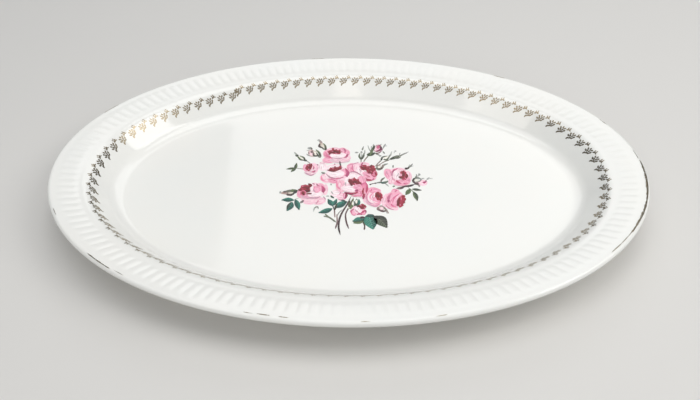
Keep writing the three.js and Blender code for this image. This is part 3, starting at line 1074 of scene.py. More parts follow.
# %% Rose above the centre, a flat cup
paint_rose(
    "rose_upper_centre", 0,
    petal(-17.2, 18.6, 5.5, 7.5, 0, WHITE, PALE),
    dab(-17.5, 22.2, 3.2, 1.8, 0, PALE, MAUVE),
    petal(-9.5, 17.6, 13.0, 6.5, 8, WHITE, PALE),
    petal(-13.9, 8.2, 9.5, 9.0, 15, PALE, LIGHT),
    stroke((-17.8, 10.6), (-17.2, 6.6), (-14.6, 4.9), widths=(0.3, 1.5, 0.4), first=PINK, last=PINK),
    petal(-8.5, 6.0, 10.5, 5.5, 5, LIGHT, PINK),
    petal(-3.4, 11.5, 5.8, 10.5, 0, LIGHT, PINK),
    stroke((-2.8, 17.4), (-0.8, 12.6), (-2.4, 8.2), widths=(0.4, 2.3, 1.2), first=DEEP, last=PLUM),
    stroke((-5.2, 13.5), (-2.8, 12.0), (-3.2, 9.4), widths=(0.3, 1.2, 0.3), first=LIGHT, last=PINK),
    petal(-9.4, 11.8, 12.6, 8.0, 8, WHITE, PALE),
    stroke((-15.0, 12.2), (-12.4, 8.8), (-8.6, 7.6), widths=(0.3, 1.0, 0.5), first=MAUVE, last=PLUM),
    stroke((-9.0, 7.5), (-6.0, 7.6), (-3.4, 9.0), widths=(0.5, 0.9, 0.5), first=PINK, last=PLUM),
    stroke((-14.0, 6.4), (-11.5, 6.8), (-8.0, 5.0), widths=(0.3, 0.8, 0.3), first=PINK, last=DEEP),
    heart(-9.0, 16.2, 9.6, 3.6, 12, CRIMSON, RED),
    stroke((-14.2, 15.3), (-10.0, 14.3), (-4.6, 16.8), widths=(0.5, 1.8, 0.6), first=DARK, last=CRIMSON),
    stroke((-5.2, 19.2), (-5.8, 18.0), (-7.4, 16.8), widths=(0.5, 1.9, 0.7), first=RED, last=CRIMSON),
    stroke((-9.4, 18.8), (-9.0, 17.6), (-9.4, 16.4), widths=(0.4, 1.3, 0.6), first=RED, last=DARK),
    stroke((-12.2, 17.6), (-11.6, 16.6), (-10.6, 15.8), widths=(0.4, 1.0, 0.5), first=RED, last=CRIMSON),
    stroke((-17.8, 13.2), (-16.6, 12.4), (-15.3, 12.2), widths=(0.6, 1.5, 0.8),
           first=LEAD, last=GREY_OLIVE),
    stroke((-9.7, 21.0), (-9.4, 20.6), (-9.1, 20.2), widths=(0.6, 1.0, 0.6), first=MAUVE, last=PLUM),
    stroke((-6.0, 23.6), (-5.9, 21.4), (-5.5, 19.0), widths=(0.5, 0.9, 0.8), first=BROWN, last=DARK_BROWN),
)

# %% Rose at the upper right
paint_rose(
    "rose_upper_right", 0.02,
    petal(1.6, 17.2, 6.5, 9.5, 8, LIGHT, PINK),
    petal(9.6, 20.6, 7.4, 4.6, 0, PALE, LIGHT),
    petal(5.4, 17.4, 6.8, 9.6, -5, PALE, LIGHT),
    stroke((-1.2, 19.8), (2.4, 21.0), (6.4, 22.6), widths=(0.5, 1.1, 0.5), first=PINK, last=MAUVE),
    stroke((2.4, 20.0), (1.9, 16.6), (3.6, 13.6), widths=(0.3, 1.2, 0.4), first=DEEP, last=PINK),
    petal(12.5, 9.2, 9.6, 8.6, 0, LIGHT, PINK),
    dab(15.8, 12.6, 4.2, 7.6, 10, PINK, RED),
    stroke((8.0, 10.0), (10.0, 6.8), (14.6, 5.8), widths=(0.4, 2.4, 1.0), first=PLUM, last=RED),
    stroke((14.6, 5.8), (15.4, 7.0), (15.0, 8.4), widths=(0.6, 1.2, 0.4), first=PLUM, last=PINK),
    petal(7.4, 13.6, 6.0, 8.0, 30, WHITE, PALE),
    stroke((6.4, 16.6), (7.2, 14.6), (7.8, 12.8), widths=(0.2, 0.7, 0.2), first=MAUVE, last=MAUVE),
    petal(11.0, 11.8, 5.4, 4.2, -20, LIGHT, PINK),
    stroke((10.4, 11.0), (11.6, 9.8), (13.4, 9.2), widths=(0.3, 1.1, 0.3), first=PINK, last=RED),
    heart(9.5, 17.6, 5.4, 5.4, 0, CRIMSON, RED),
    heart(13.8, 15.8, 6.0, 8.8, -15, CRIMSON, RED),
    stroke((14.6, 20.0), (14.0, 18.4), (12.6, 17.4), widths=(0.8, 2.0, 0.8), first=DARK, last=CRIMSON),
    stroke((8.2, 18.4), (9.4, 16.2), (11.6, 15.2), widths=(0.6, 1.4, 0.6), first=DARK, last=CRIMSON),
    stroke((12.2, 12.6), (13.4, 12.8), (15.4, 11.8), widths=(0.6, 1.6, 0.6), first=DARK, last=CRIMSON),
    stroke((8.9, 22.2), (8.2, 20.4), (7.6, 18.6), widths=(0.4, 1.1, 0.5), first=PLUM, last=DEEP),
    stroke((17.2, 9.8), (16.9, 11.6), (16.4, 13.4), widths=(0.5, 1.2, 0.4), first=RED, last=CRIMSON),
    stroke((17.0, 15.2), (16.4, 16.4), (15.6, 17.4), widths=(0.6, 1.4, 0.4), first=CRIMSON, last=RED),
)

# %% Rose at the left
paint_rose(
    "rose_left", 0,
    petal(-24.5, -11.2, 10.0, 7.5, 0, PALE, LIGHT),
    petal(-18.6, -12.0, 8.0, 6.5, 15, PALE, LIGHT),
    petal(-15.2, -2.2, 4.0, 9.5, 0, PALE, LIGHT),
    petal(-30.0, -5.6, 5.0, 8.5, 5, LIGHT, PINK),
    petal(-18.8, -1.4, 8.5, 9.5, 0, LIGHT, PINK),
    dab(-21.0, 2.0, 5.0, 3.0, -20, PALE, LIGHT),
    petal(-25.4, -8.2, 9.0, 4.4, -8, LIGHT, MAUVE),
    stroke((-23.6, 3.2), (-22.4, 2.8), (-21.8, 1.6), widths=(0.4, 1.0, 0.4), first=PLUM, last=MAUVE),
    stroke((-20.6, 2.8), (-19.6, 1.2), (-17.8, 0.6), widths=(0.5, 1.3, 0.5), first=PLUM, last=PINK),
    stroke((-17.2, 1.0), (-16.0, -2.4), (-17.4, -6.8), widths=(0.4, 2.4, 0.7), first=DEEP, last=PLUM),
    stroke((-16.2, -8.2), (-15.2, -9.6), (-14.4, -11.0), widths=(0.4, 0.9, 0.4), first=MAUVE, last=MAUVE),
    petal(-21.0, -6.2, 9.5, 6.0, 8, WHITE, PALE),
    dab(-20.2, -2.4, 4.2, 5.2, 0, LIGHT, PINK),
    stroke((-22.4, -1.6), (-22.0, -3.4), (-21.2, -4.8), widths=(0.3, 1.0, 0.3), first=MAUVE, last=MAUVE),
    dab(-23.3, -0.6, 1.8, 7.5, 0, WHITE, PALE),
    stroke((-17.8, -8.2), (-20.6, -9.4), (-25.8, -8.8), widths=(0.4, 1.1, 0.5), first=MAUVE, last=MAUVE),
    heart(-27.6, -1.4, 7.0, 7.4, 0, RED, RED),
    dab(-28.6, -5.4, 4.0, 4.6, 0, RED, PINK),
    stroke((-25.8, 2.8), (-24.2, 1.2), (-25.6, -0.8), widths=(1.0, 2.2, 0.8), first=DARK, last=CRIMSON),
    stroke((-29.6, -0.8), (-27.0, -0.6), (-25.0, -1.4), widths=(0.8, 2.2, 0.8), first=CRIMSON, last=DARK),
    stroke((-27.8, -2.6), (-26.0, -3.6), (-24.0, -3.6), widths=(0.6, 2.0, 0.8), first=DARK, last=DARK),
    stroke((-28.8, -3.8), (-28.6, -5.6), (-27.8, -7.4), widths=(0.8, 1.9, 0.9), first=CRIMSON, last=DARK),
    stroke((-26.6, -6.0), (-25.0, -6.0), (-23.2, -6.0), widths=(0.7, 1.1, 1.2), first=CRIMSON, last=DARK),
    stroke((-31.8, -2.4), (-30.6, -2.8), (-29.4, -2.6), widths=(1.0, 1.8, 0.8), first=DARK, last=CRIMSON),
    stroke((-20.6, -14.8), (-19.4, -13.0), (-19.0, -11.6), widths=(0.4, 1.0, 0.4), first=MAUVE, last=PINK),
)

# %% Petals that fall under the centre
paint_rose(
    "rose_fallen_petals", 0,
    petal(-7.8, -5.6, 8.0, 7.0, 0, WHITE, PALE),
    petal(-4.6, -8.2, 6.5, 6.0, 10, PALE, LIGHT),
    dab(-2.6, -7.6, 2.6, 5.4, 0, LIGHT, DEEP),
    stroke((-2.2, -5.0), (-1.8, -7.4), (-2.8, -10.0), widths=(0.5, 1.8, 0.5), first=CRIMSON, last=PLUM),
    stroke((-4.4, -3.4), (-5.4, -4.8), (-6.4, -7.0), widths=(0.2, 0.8, 0.2), first=PINK, last=MAUVE),
    stroke((-7.0, -10.4), (-5.4, -11.2), (-3.6, -10.6), widths=(0.3, 0.9, 0.3), first=PINK, last=MAUVE),
    stroke((-11.2, -3.6), (-10.8, -4.8), (-10.0, -6.0), widths=(0.4, 1.0, 0.4), first=SMOKE, last=LEAD),
    stroke((-11.6, 2.9), (-11.4, 2.2), (-11.3, 1.5), widths=(0.4, 1.0, 0.4), first=LEAD, last=LEAD),
    stroke((-14.4, -8.0), (-13.4, -7.8), (-12.4, -8.0), widths=(0.4, 0.9, 0.4), first=SMOKE, last=LEAD),
    stroke((-11.6, -7.4), (-10.6, -8.6), (-9.4, -9.6), widths=(0.7, 1.4, 0.6),
           first=DARK_OLIVE, last=DEEP_TEAL),
)

# %% Rose below the centre at the right
paint_rose(
    "rose_lower_centre", 0,
    petal(14.6, -9.0, 13.0, 16.0, 0, PALE, LIGHT),
    petal(15.4, -3.0, 8.5, 5.5, -10, LIGHT, PINK),
    petal(14.2, -13.6, 9.0, 6.0, -25, LIGHT, MAUVE),
    stroke((14.2, -1.6), (13.6, -3.0), (13.2, -4.4), widths=(0.3, 1.0, 0.3), first=DEEP, last=PINK),
    stroke((12.4, -3.2), (10.6, -9.4), (13.4, -15.2), widths=(0.3, 1.1, 0.4), first=PINK, last=MAUVE),
    stroke((13.4, -15.4), (16.0, -16.6), (19.0, -14.0), widths=(0.4, 1.2, 0.4), first=MAUVE, last=PINK),
    petal(15.2, -9.6, 7.5, 9.5, 0, WHITE, PALE),
    stroke((16.4, -3.6), (12.8, -8.4), (15.2, -12.6), widths=(0.4, 1.3, 0.4), first=PINK, last=LIGHT),
    stroke((14.6, -13.2), (17.0, -14.2), (19.2, -12.4), widths=(0.4, 1.4, 0.4), first=LIGHT, last=PINK),
    stroke((15.2, -6.0), (14.4, -9.2), (16.2, -11.8), widths=(0.2, 0.9, 0.3), first=PINK, last=MAUVE),
    dab(17.0, -10.6, 4.6, 5.0, 0, LIGHT, PINK),
    heart(18.0, -8.0, 4.8, 7.8, 8, CRIMSON, RED),
    stroke((16.6, -4.8), (17.2, -7.0), (18.4, -9.4), widths=(0.8, 1.8, 0.9), first=CRIMSON, last=DARK),
    stroke((19.0, -5.0), (20.0, -7.2), (19.8, -9.6), widths=(0.4, 1.1, 0.5), first=RED, last=RED),
    stroke((18.2, -10.0), (18.9, -11.0), (19.3, -12.2), widths=(0.8, 1.4, 0.4), first=CRIMSON, last=RED),
)

# %% Rose at the lower right
paint_rose(
    "rose_lower_right", 0.02,
    petal(22.6, -11.5, 5.5, 12.0, -12, PALE, LIGHT),
    petal(25.4, -16.2, 10.0, 6.0, -30, PALE, LIGHT),
    petal(28.6, -4.2, 5.5, 5.5, 0, LIGHT, PINK),
    petal(27.6, -10.6, 11.0, 14.6, -25, LIGHT, PINK),
    stroke((26.2, -5.0), (24.2, -9.2), (24.0, -13.4), widths=(0.4, 1.9, 0.6), first=PINK, last=PLUM),
    dab(24.0, -12.0, 1.8, 3.4, 0, PLUM, PINK),
    stroke((21.6, -14.8), (24.0, -18.0), (27.0, -19.6), widths=(0.3, 1.1, 0.4), first=PINK, last=MAUVE),
    stroke((31.0, -6.0), (27.6, -9.4), (26.2, -14.6), widths=(0.3, 1.2, 0.4), first=DEEP, last=PINK),
    stroke((25.4, -14.4), (26.4, -16.4), (28.8, -17.4), widths=(0.5, 1.5, 0.5), first=DEEP, last=PINK),
    stroke((32.8, -5.6), (29.8, -8.6), (28.6, -13.0), widths=(0.3, 1.4, 0.3), first=PALE, last=LIGHT),
    stroke((29.6, -2.6), (28.8, -3.8), (28.2, -4.8), widths=(0.4, 1.2, 0.3), first=DEEP, last=PINK),
    heart(31.6, -12.6, 5.0, 10.6, -22, RED, RED),
    stroke((31.4, -9.2), (30.0, -12.2), (29.6, -16.4), widths=(0.8, 2.0, 0.9), first=CRIMSON, last=DARK),
    dab(33.3, -8.2, 2.4, 2.2, 0, CRIMSON, RED),
    stroke((32.0, -11.0), (33.4, -10.6), (34.8, -11.2), widths=(0.9, 1.5, 0.6), first=RED, last=CRIMSON),
    stroke((31.6, -13.6), (33.0, -13.4), (34.2, -13.8), widths=(0.9, 1.4, 0.5), first=RED, last=CRIMSON),
    stroke((30.4, -17.6), (31.6, -16.4), (33.0, -15.6), widths=(0.6, 1.3, 0.4), first=RED, last=RED),
)

# %% Rose at the right
paint_rose(
    "rose_right", 0,
    petal(25.6, 11.6, 7.0, 10.5, 12, LIGHT, PINK),
    stroke((24.2, 14.6), (24.0, 12.6), (24.8, 10.6), widths=(0.3, 1.3, 0.4), first=MAUVE, last=PINK),
    petal(32.0, 15.0, 10.0, 5.0, -8, PALE, LIGHT),
    petal(37.8, 9.6, 4.0, 10.0, 0, PALE, LIGHT),
    petal(27.6, 6.2, 6.0, 7.0, -10, PALE, LIGHT),
    petal(33.0, 3.8, 10.5, 6.0, 5, LIGHT, PINK),
    petal(36.4, 6.2, 5.0, 7.0, 0, LIGHT, PINK),
    stroke((29.6, 5.8), (30.8, 4.2), (32.8, 2.8), widths=(0.5, 1.7, 0.5), first=RED, last=DEEP),
    stroke((34.0, 3.4), (35.4, 2.8), (37.0, 3.0), widths=(0.4, 1.6, 0.4), first=DEEP, last=PINK),
    stroke((36.0, 6.2), (37.6, 5.6), (38.4, 7.2), widths=(0.4, 1.4, 0.4), first=PINK, last=MAUVE),
    stroke((31.4, 17.0), (28.0, 13.6), (27.2, 9.4), widths=(0.5, 1.4, 0.5), first=DEEP, last=MAUVE),
    stroke((27.2, 9.4), (27.6, 7.0), (29.0, 5.2), widths=(0.4, 1.0, 0.4), first=MAUVE, last=PINK),
    dab(28.7, 14.4, 2.0, 3.4, -25, PLUM, DEEP),
    petal(30.4, 10.4, 5.2, 9.0, 5, WHITE, PALE),
    stroke((31.8, 12.6), (31.2, 11.0), (30.2, 9.2), widths=(0.2, 0.8, 0.2), first=SMOKE, last=MAUVE),
    heart(34.8, 10.4, 4.6, 9.4, 6, RED, RED),
    stroke((34.4, 14.6), (34.6, 11.6), (34.4, 9.0), widths=(0.6, 2.2, 1.0), first=CRIMSON, last=DARK),
    stroke((36.6, 11.6), (36.8, 9.6), (36.0, 7.8), widths=(0.5, 1.8, 0.8), first=CRIMSON, last=DARK),
    stroke((31.4, 8.9), (32.8, 8.2), (34.6, 8.0), widths=(1.1, 2.1, 1.0), first=DARK, last=CRIMSON),
    dab(32.9, 10.5, 1.7, 2.2, 0, LIGHT, PINK),
    stroke((33.6, 7.4), (34.2, 6.4), (34.8, 5.4), widths=(0.8, 1.2, 0.3), first=RED, last=DEEP),
)

# %% Rose at the centre, over its neighbours
paint_rose(
    "rose_centre", 1,
    petal(3.6, 9.6, 10.5, 7.0, 0, WHITE, PALE),
    petal(-3.4, 4.6, 8.0, 10.0, 10, PALE, LIGHT),
    petal(-5.0, 0.6, 6.5, 10.5, 0, PALE, PINK),
    stroke((-7.9, 5.4), (-7.5, 0.6), (-5.2, -2.8), widths=(0.4, 1.5, 0.4), first=PINK, last=PINK),
    stroke((-6.4, 6.0), (-4.9, 2.6), (-4.6, -1.0), widths=(0.2, 0.9, 0.2), first=PINK, last=LIGHT),
    petal(8.0, 5.2, 5.5, 10.0, 8, LIGHT, PINK),
    dab(9.0, -1.6, 5.6, 11.0, -6, PINK, DEEP),
    petal(6.6, -5.4, 7.5, 7.0, 0, LIGHT, PINK),
    stroke((0.4, 12.9), (3.6, 13.5), (8.0, 10.2), widths=(0.3, 0.9, 0.3), first=MAUVE, last=PLUM),
    stroke((11.3, 2.4), (11.1, -1.6), (10.4, -5.0), widths=(0.5, 1.5, 0.4), first=DEEP, last=RED),
    stroke((9.0, -1.0), (8.4, -4.4), (8.8, -8.6), widths=(0.4, 1.3, 0.4), first=RED, last=CRIMSON),
    stroke((9.6, -6.0), (8.8, -8.4), (8.6, -10.6), widths=(0.6, 1.8, 0.4), first=RED, last=PLUM),
    stroke((6.2, -3.4), (7.4, -5.8), (7.0, -8.2), widths=(0.3, 1.0, 0.3), first=PINK, last=DEEP),
    petal(0.6, -1.6, 10.5, 6.6, -8, WHITE, PALE),
    dab(-1.4, 5.2, 3.6, 7.0, 0, WHITE, PALE),
    stroke((-1.9, 4.4), (-2.4, 2.4), (-2.1, 0.6), widths=(0.3, 0.9, 0.3), first=SMOKE, last=MAUVE),
    petal(5.2, -0.4, 5.6, 5.0, -10, LIGHT, PINK),
    stroke((-3.2, -4.8), (1.2, -6.0), (5.6, -5.0), widths=(0.5, 1.8, 0.5), first=PLUM, last=RED),
    dab(4.6, -3.6, 2.6, 2.4, 0, PLUM, PINK),
    stroke((1.0, -7.4), (3.6, -8.0), (6.0, -7.6), widths=(0.3, 1.2, 0.4), first=PINK, last=PINK),
    heart(3.0, 4.4, 8.2, 6.2, -14, CRIMSON, RED),
    stroke((0.0, 7.0), (0.6, 4.4), (1.8, 0.4), widths=(0.9, 2.2, 0.9), first=CRIMSON, last=DARK),
    stroke((2.0, 3.6), (4.6, 4.4), (7.8, 2.2), widths=(0.8, 2.2, 0.8), first=DARK, last=CRIMSON),
    stroke((3.4, 8.2), (3.0, 6.6), (3.2, 5.0), widths=(0.5, 1.4, 0.6), first=RED, last=CRIMSON),
    stroke((5.8, 6.8), (5.5, 5.4), (5.2, 4.4), widths=(0.4, 1.3, 0.6), first=RED, last=CRIMSON),
    stroke((4.6, -0.4), (4.3, 0.8), (4.0, 2.2), widths=(1.0, 1.0, 0.3), first=LIGHT, last=LIGHT),
)

# %% Small rose at the bottom
paint_rose(
    "rose_small_bottom", 1,
    petal(4.8, -20.2, 8.4, 7.6, 0, PALE, LIGHT),
    dab(2.6, -21.4, 3.6, 5.4, 0, LIGHT, PINK),
    stroke((2.6, -18.6), (1.1, -20.6), (1.6, -22.8), widths=(0.4, 1.4, 0.5), first=PLUM, last=PINK),
    dab(8.2, -20.8, 3.6, 5.4, 10, LIGHT, PINK),
    petal(5.1, -19.8, 4.4, 6.0, 25, WHITE, PALE),
    stroke((3.4, -19.0), (4.4, -21.0), (6.0, -22.4), widths=(0.2, 0.8, 0.3), first=MAUVE, last=PINK),
    stroke((6.8, -22.4), (8.2, -21.2), (9.4, -19.8), widths=(0.4, 1.5, 0.4), first=DEEP, last=RED),
    stroke((9.6, -19.6), (9.9, -20.8), (9.9, -22.0), widths=(0.4, 1.0, 0.4), first=PLUM, last=PLUM),
    stroke((4.4, -23.4), (6.0, -22.8), (7.8, -23.4), widths=(0.5, 1.5, 0.5), first=PLUM, last=DEEP),
    heart(8.0, -16.8, 4.4, 4.6, 20, CRIMSON, RED),
    stroke((6.6, -18.6), (8.0, -18.0), (9.4, -18.4), widths=(0.6, 1.4, 0.5), first=DARK, last=CRIMSON),
    stroke((4.4, -16.8), (5.6, -16.6), (6.8, -17.0), widths=(1.0, 1.6, 0.8),
           first=DARK_BROWN, last=CRIMSON),
)

# %% [markdown]
# ## The buds
#
# The buds stand round the top of the bouquet. A closed bud is two dark sepals that leave a pale slit
# between them and run out past the tip in grey hairs. Each hangs on a stem that is as thin as a
# hair. Only two buds, both at the right, show their pink.

# %% Buds at the upper left
paint_bud(
    "bud_top_left",
    stroke((-16.4, 36.2), (-18.1, 39.6), (-19.4, 42.8), widths=(1.2, 3.2, 1.0), first=CREAM, last=TAN),
    stroke((-18.0, 41.4), (-19.5, 43.6), (-20.6, 45.4), widths=(1.2, 1.8, 0.5), first=DUSTY, last=LEAD),
    stroke((-19.6, 43.4), (-20.8, 44.4), (-21.8, 44.6), widths=(0.8, 1.0, 0.3), first=LEAD, last=SMOKE),
    stroke((-15.5, 34.2), (-15.8, 38.6), (-17.4, 41.4), widths=(1.8, 1.3, 0.5),
           first=DARK_BROWN, last=OLIVE),
    stroke((-16.2, 34.8), (-17.2, 36.0), (-18.2, 37.6), widths=(0.8, 1.2, 0.8),
           first=GREY_OLIVE, last=BLACK_LEAF),
    stroke((-17.9, 36.8), (-19.8, 38.4), (-19.3, 41.4), widths=(1.2, 1.8, 0.6),
           first=BLACK_LEAF, last=BROWN),
)
paint_bud(
    "bud_upper_left",
    dab(-24.6, 31.4, 4.6, 7.2, 14, PALE, TAN),
    dab(-22.6, 31.6, 3.2, 5.0, 20, CREAM, TAN),
    dab(-26.1, 36.3, 3.2, 2.6, -20, LEAD, SMOKE),
    dab(-19.3, 28.7, 2.4, 3.2, 0, GREY_OLIVE, BLACK_LEAF),
    stroke((-21.8, 31.8), (-20.8, 30.6), (-20.4, 28.4), widths=(0.6, 1.0, 1.2),
           first=GREY_OLIVE, last=BLACK_LEAF),
    stroke((-22.1, 35.2), (-19.8, 32.0), (-18.7, 28.8), widths=(0.5, 1.6, 1.4),
           first=OLIVE, last=BLACK_LEAF),
    stroke((-24.0, 30.6), (-22.6, 28.8), (-20.2, 29.0), widths=(0.6, 1.4, 1.0),
           first=DARK_OLIVE, last=BLACK_LEAF),
    stroke((-24.8, 35.0), (-23.6, 31.6), (-22.8, 29.6), widths=(0.5, 1.2, 0.6), first=DUSTY, last=BROWN),
    dab(-24.7, 32.7, 1.7, 2.0, 0, BROWN, DUSTY),
    stroke((-25.7, 37.4), (-24.8, 36.0), (-24.6, 34.8), widths=(0.6, 1.2, 0.5),
           first=GREY_OLIVE, last=BROWN),
    stroke((-28.0, 30.8), (-27.0, 29.6), (-25.2, 28.4), widths=(0.4, 1.0, 0.4), first=LEAD, last=LEAD),
    stroke((-26.7, 32.6), (-26.4, 31.6), (-26.6, 30.8), widths=(0.4, 1.0, 0.4), first=DUSTY, last=BROWN),
    stroke((-28.2, 34.2), (-27.2, 34.1), (-26.2, 34.4), widths=(0.3, 0.7, 0.3), first=SMOKE, last=DUSTY),
)
paint_bud(
    "bud_far_left",
    stroke((-27.6, 24.0), (-26.4, 22.8), (-24.9, 21.5), widths=(0.6, 0.8, 0.5), first=LEAD, last=DUSTY),
    stroke((-29.8, 25.4), (-31.4, 27.0), (-33.0, 28.6), widths=(0.6, 2.0, 0.6), first=CREAM, last=CREAM),
    stroke((-29.4, 24.8), (-31.8, 25.4), (-33.9, 28.8), widths=(0.8, 1.5, 0.9),
           first=BLACK_LEAF, last=OLIVE),
    stroke((-28.8, 24.8), (-29.8, 27.3), (-32.6, 29.0), widths=(1.1, 1.3, 0.5),
           first=BLACK_LEAF, last=OLIVE),
    stroke((-27.4, 24.0), (-28.4, 24.4), (-29.8, 25.0), widths=(1.0, 1.8, 1.2),
           first=DARK_OLIVE, last=BLACK_LEAF),
    dab(-34.2, 29.2, 2.2, 2.2, 40, BLACK_LEAF, GREY_OLIVE),
    stroke((-34.0, 29.6), (-35.2, 31.0), (-36.2, 32.8), widths=(0.8, 1.4, 0.4),
           first=GREY_OLIVE, last=SMOKE),
)

# %% Buds at the top and the upper right
paint_bud(
    "bud_top_centre",
    stroke((7.8, 22.4), (7.8, 24.0), (7.9, 25.8), widths=(0.5, 0.6, 0.8), first=DUSTY, last=GREY_OLIVE),
    stroke((8.0, 26.2), (8.5, 28.4), (8.3, 31.0), widths=(1.0, 1.6, 0.4), first=GREY_OLIVE, last=SMOKE),
    stroke((7.9, 25.2), (6.7, 28.4), (7.3, 31.6), widths=(1.2, 1.4, 0.5),
           first=DARK_OLIVE, last=GREY_OLIVE),
    stroke((8.0, 25.4), (9.5, 28.8), (9.9, 32.0), widths=(1.5, 1.4, 0.4),
           first=BLACK_LEAF, last=GREY_OLIVE),
    dab(8.2, 32.4, 1.5, 2.5, 0, LEAD, SMOKE),
    dab(5.0, 32.1, 2.5, 1.5, 0, LEAD, SMOKE),
    stroke((8.8, 34.4), (9.1, 36.0), (9.9, 38.4), widths=(0.9, 1.1, 0.3), first=GREY_OLIVE, last=LEAD),
    stroke((10.4, 31.0), (10.4, 33.0), (10.6, 35.0), widths=(0.4, 1.0, 0.3), first=LEAD, last=SMOKE),
)
paint_bud(
    "bud_top_right",
    stroke((12.6, 28.8), (10.8, 26.0), (9.4, 23.0), widths=(1.0, 0.9, 0.7), first=GREY_OLIVE, last=DUSTY),
    stroke((15.0, 33.4), (14.8, 36.0), (15.0, 38.6), widths=(0.5, 0.7, 0.6), first=SMOKE, last=LEAD),
    stroke((16.0, 38.2), (16.3, 39.6), (16.8, 40.8), widths=(0.6, 0.8, 0.3), first=LEAD, last=SMOKE),
    stroke((14.8, 32.6), (13.4, 35.6), (12.6, 39.4), widths=(1.1, 0.8, 0.7), first=GREY_OLIVE, last=SMOKE),
    stroke((22.8, 36.6), (23.4, 38.2), (24.6, 40.8), widths=(0.6, 1.2, 0.6), first=LEAD, last=LEAD),
    stroke((23.2, 38.4), (24.4, 38.6), (25.6, 38.6), widths=(0.4, 0.8, 0.3), first=LEAD, last=SMOKE),
    stroke((21.6, 33.0), (22.2, 35.2), (23.2, 37.4), widths=(0.4, 0.6, 0.4), first=MAUVE, last=LEAD),
    stroke((20.6, 39.6), (21.4, 40.0), (22.2, 40.6), widths=(0.3, 0.8, 0.3), first=LEAD, last=SMOKE),
    stroke((17.6, 30.8), (19.2, 30.0), (20.2, 28.8), widths=(0.8, 1.1, 0.6), first=GREY_OLIVE, last=LEAD),
    dab(20.4, 28.8, 1.8, 1.6, 0, LEAD, SMOKE),
    stroke((22.3, 33.2), (23.0, 32.0), (23.5, 30.6), widths=(0.5, 1.2, 0.4), first=GREY_OLIVE, last=LEAD),
    dab(18.9, 36.2, 5.2, 7.8, -22, LIGHT, DUSTY),
    dab(19.5, 37.4, 2.4, 3.6, -15, DEEP, DUSTY),
    stroke((17.2, 33.6), (17.3, 35.6), (18.0, 38.2), widths=(0.5, 1.2, 0.4), first=PALE, last=PALE),
    stroke((21.2, 38.0), (21.0, 35.0), (17.8, 32.8), widths=(1.2, 1.9, 1.0), first=DARK_BROWN, last=PLUM),
    stroke((19.8, 39.8), (20.4, 38.9), (21.0, 37.8), widths=(0.5, 1.0, 0.5), first=PLUM, last=PLUM),
    stroke((17.0, 31.4), (19.6, 31.6), (21.6, 33.8), widths=(0.7, 1.0, 0.4), first=DARK_OLIVE, last=PLUM),
    dab(14.2, 30.4, 5.2, 3.4, 25, OLIVE, DARK_OLIVE),
    stroke((12.4, 28.8), (13.0, 30.0), (13.2, 31.8), widths=(1.2, 1.2, 0.6),
           first=DARK_OLIVE, last=BLACK_LEAF),
    stroke((14.6, 29.6), (15.8, 30.6), (17.2, 32.0), widths=(1.2, 1.8, 1.0),
           first=BLACK_LEAF, last=DARK_OLIVE),
    stroke((14.6, 31.6), (15.5, 35.0), (17.0, 39.6), widths=(2.0, 1.7, 0.5), first=OLIVE, last=DARK_OLIVE),
    stroke((16.2, 34.8), (16.6, 36.6), (17.2, 38.6), widths=(0.6, 1.5, 0.5),
           first=BLACK_LEAF, last=DARK_OLIVE),
)
paint_bud(
    "bud_inner_right",
    stroke((21.0, 24.6), (19.0, 22.0), (16.8, 18.8), widths=(0.9, 0.8, 0.6), first=GREY_OLIVE, last=DUSTY),
    stroke((22.4, 25.8), (24.0, 27.2), (25.8, 28.4), widths=(1.0, 2.0, 0.8), first=CREAM, last=CREAM),
    stroke((22.4, 25.6), (24.6, 25.2), (26.6, 28.4), widths=(1.0, 1.6, 0.5),
           first=DARK_OLIVE, last=GREY_OLIVE),
    stroke((21.0, 24.4), (22.0, 27.6), (25.6, 28.8), widths=(1.3, 1.3, 0.5),
           first=BLACK_LEAF, last=GREY_OLIVE),
    stroke((26.0, 28.0), (27.4, 30.0), (28.4, 33.6), widths=(1.1, 1.2, 0.4), first=GREY_OLIVE, last=SMOKE),
    stroke((29.6, 31.4), (30.1, 32.8), (30.0, 34.4), widths=(0.4, 0.9, 0.3), first=SMOKE, last=SMOKE),
    dab(30.9, 33.5, 0.9, 1.6, 0, LEAD, SMOKE),
)
paint_bud(
    "bud_outer_right",
    stroke((26.6, 25.2), (22.4, 22.8), (19.0, 20.0), widths=(0.9, 0.8, 0.6), first=GREY_OLIVE, last=DUSTY),
    stroke((26.4, 25.2), (29.4, 27.0), (32.6, 28.8), widths=(1.0, 2.6, 2.0),
           first=BLACK_LEAF, last=DARK_OLIVE),
    dab(31.2, 28.1, 4.2, 2.2, 25, GREY_OLIVE, DARK_OLIVE),
    stroke((29.6, 26.6), (32.0, 26.7), (33.8, 28.0), widths=(0.8, 1.3, 0.8),
           first=BLACK_LEAF, last=GREY_OLIVE),
    stroke((33.0, 28.4), (35.4, 30.2), (38.4, 32.0), widths=(1.4, 1.1, 1.0), first=GREY_OLIVE, last=LEAD),
    stroke((38.0, 31.8), (38.8, 32.4), (39.6, 33.0), widths=(0.7, 0.6, 0.3), first=LEAD, last=SMOKE),
    stroke((33.0, 29.6), (33.4, 30.8), (33.8, 32.0), widths=(0.4, 0.8, 0.3), first=LEAD, last=SMOKE),
)
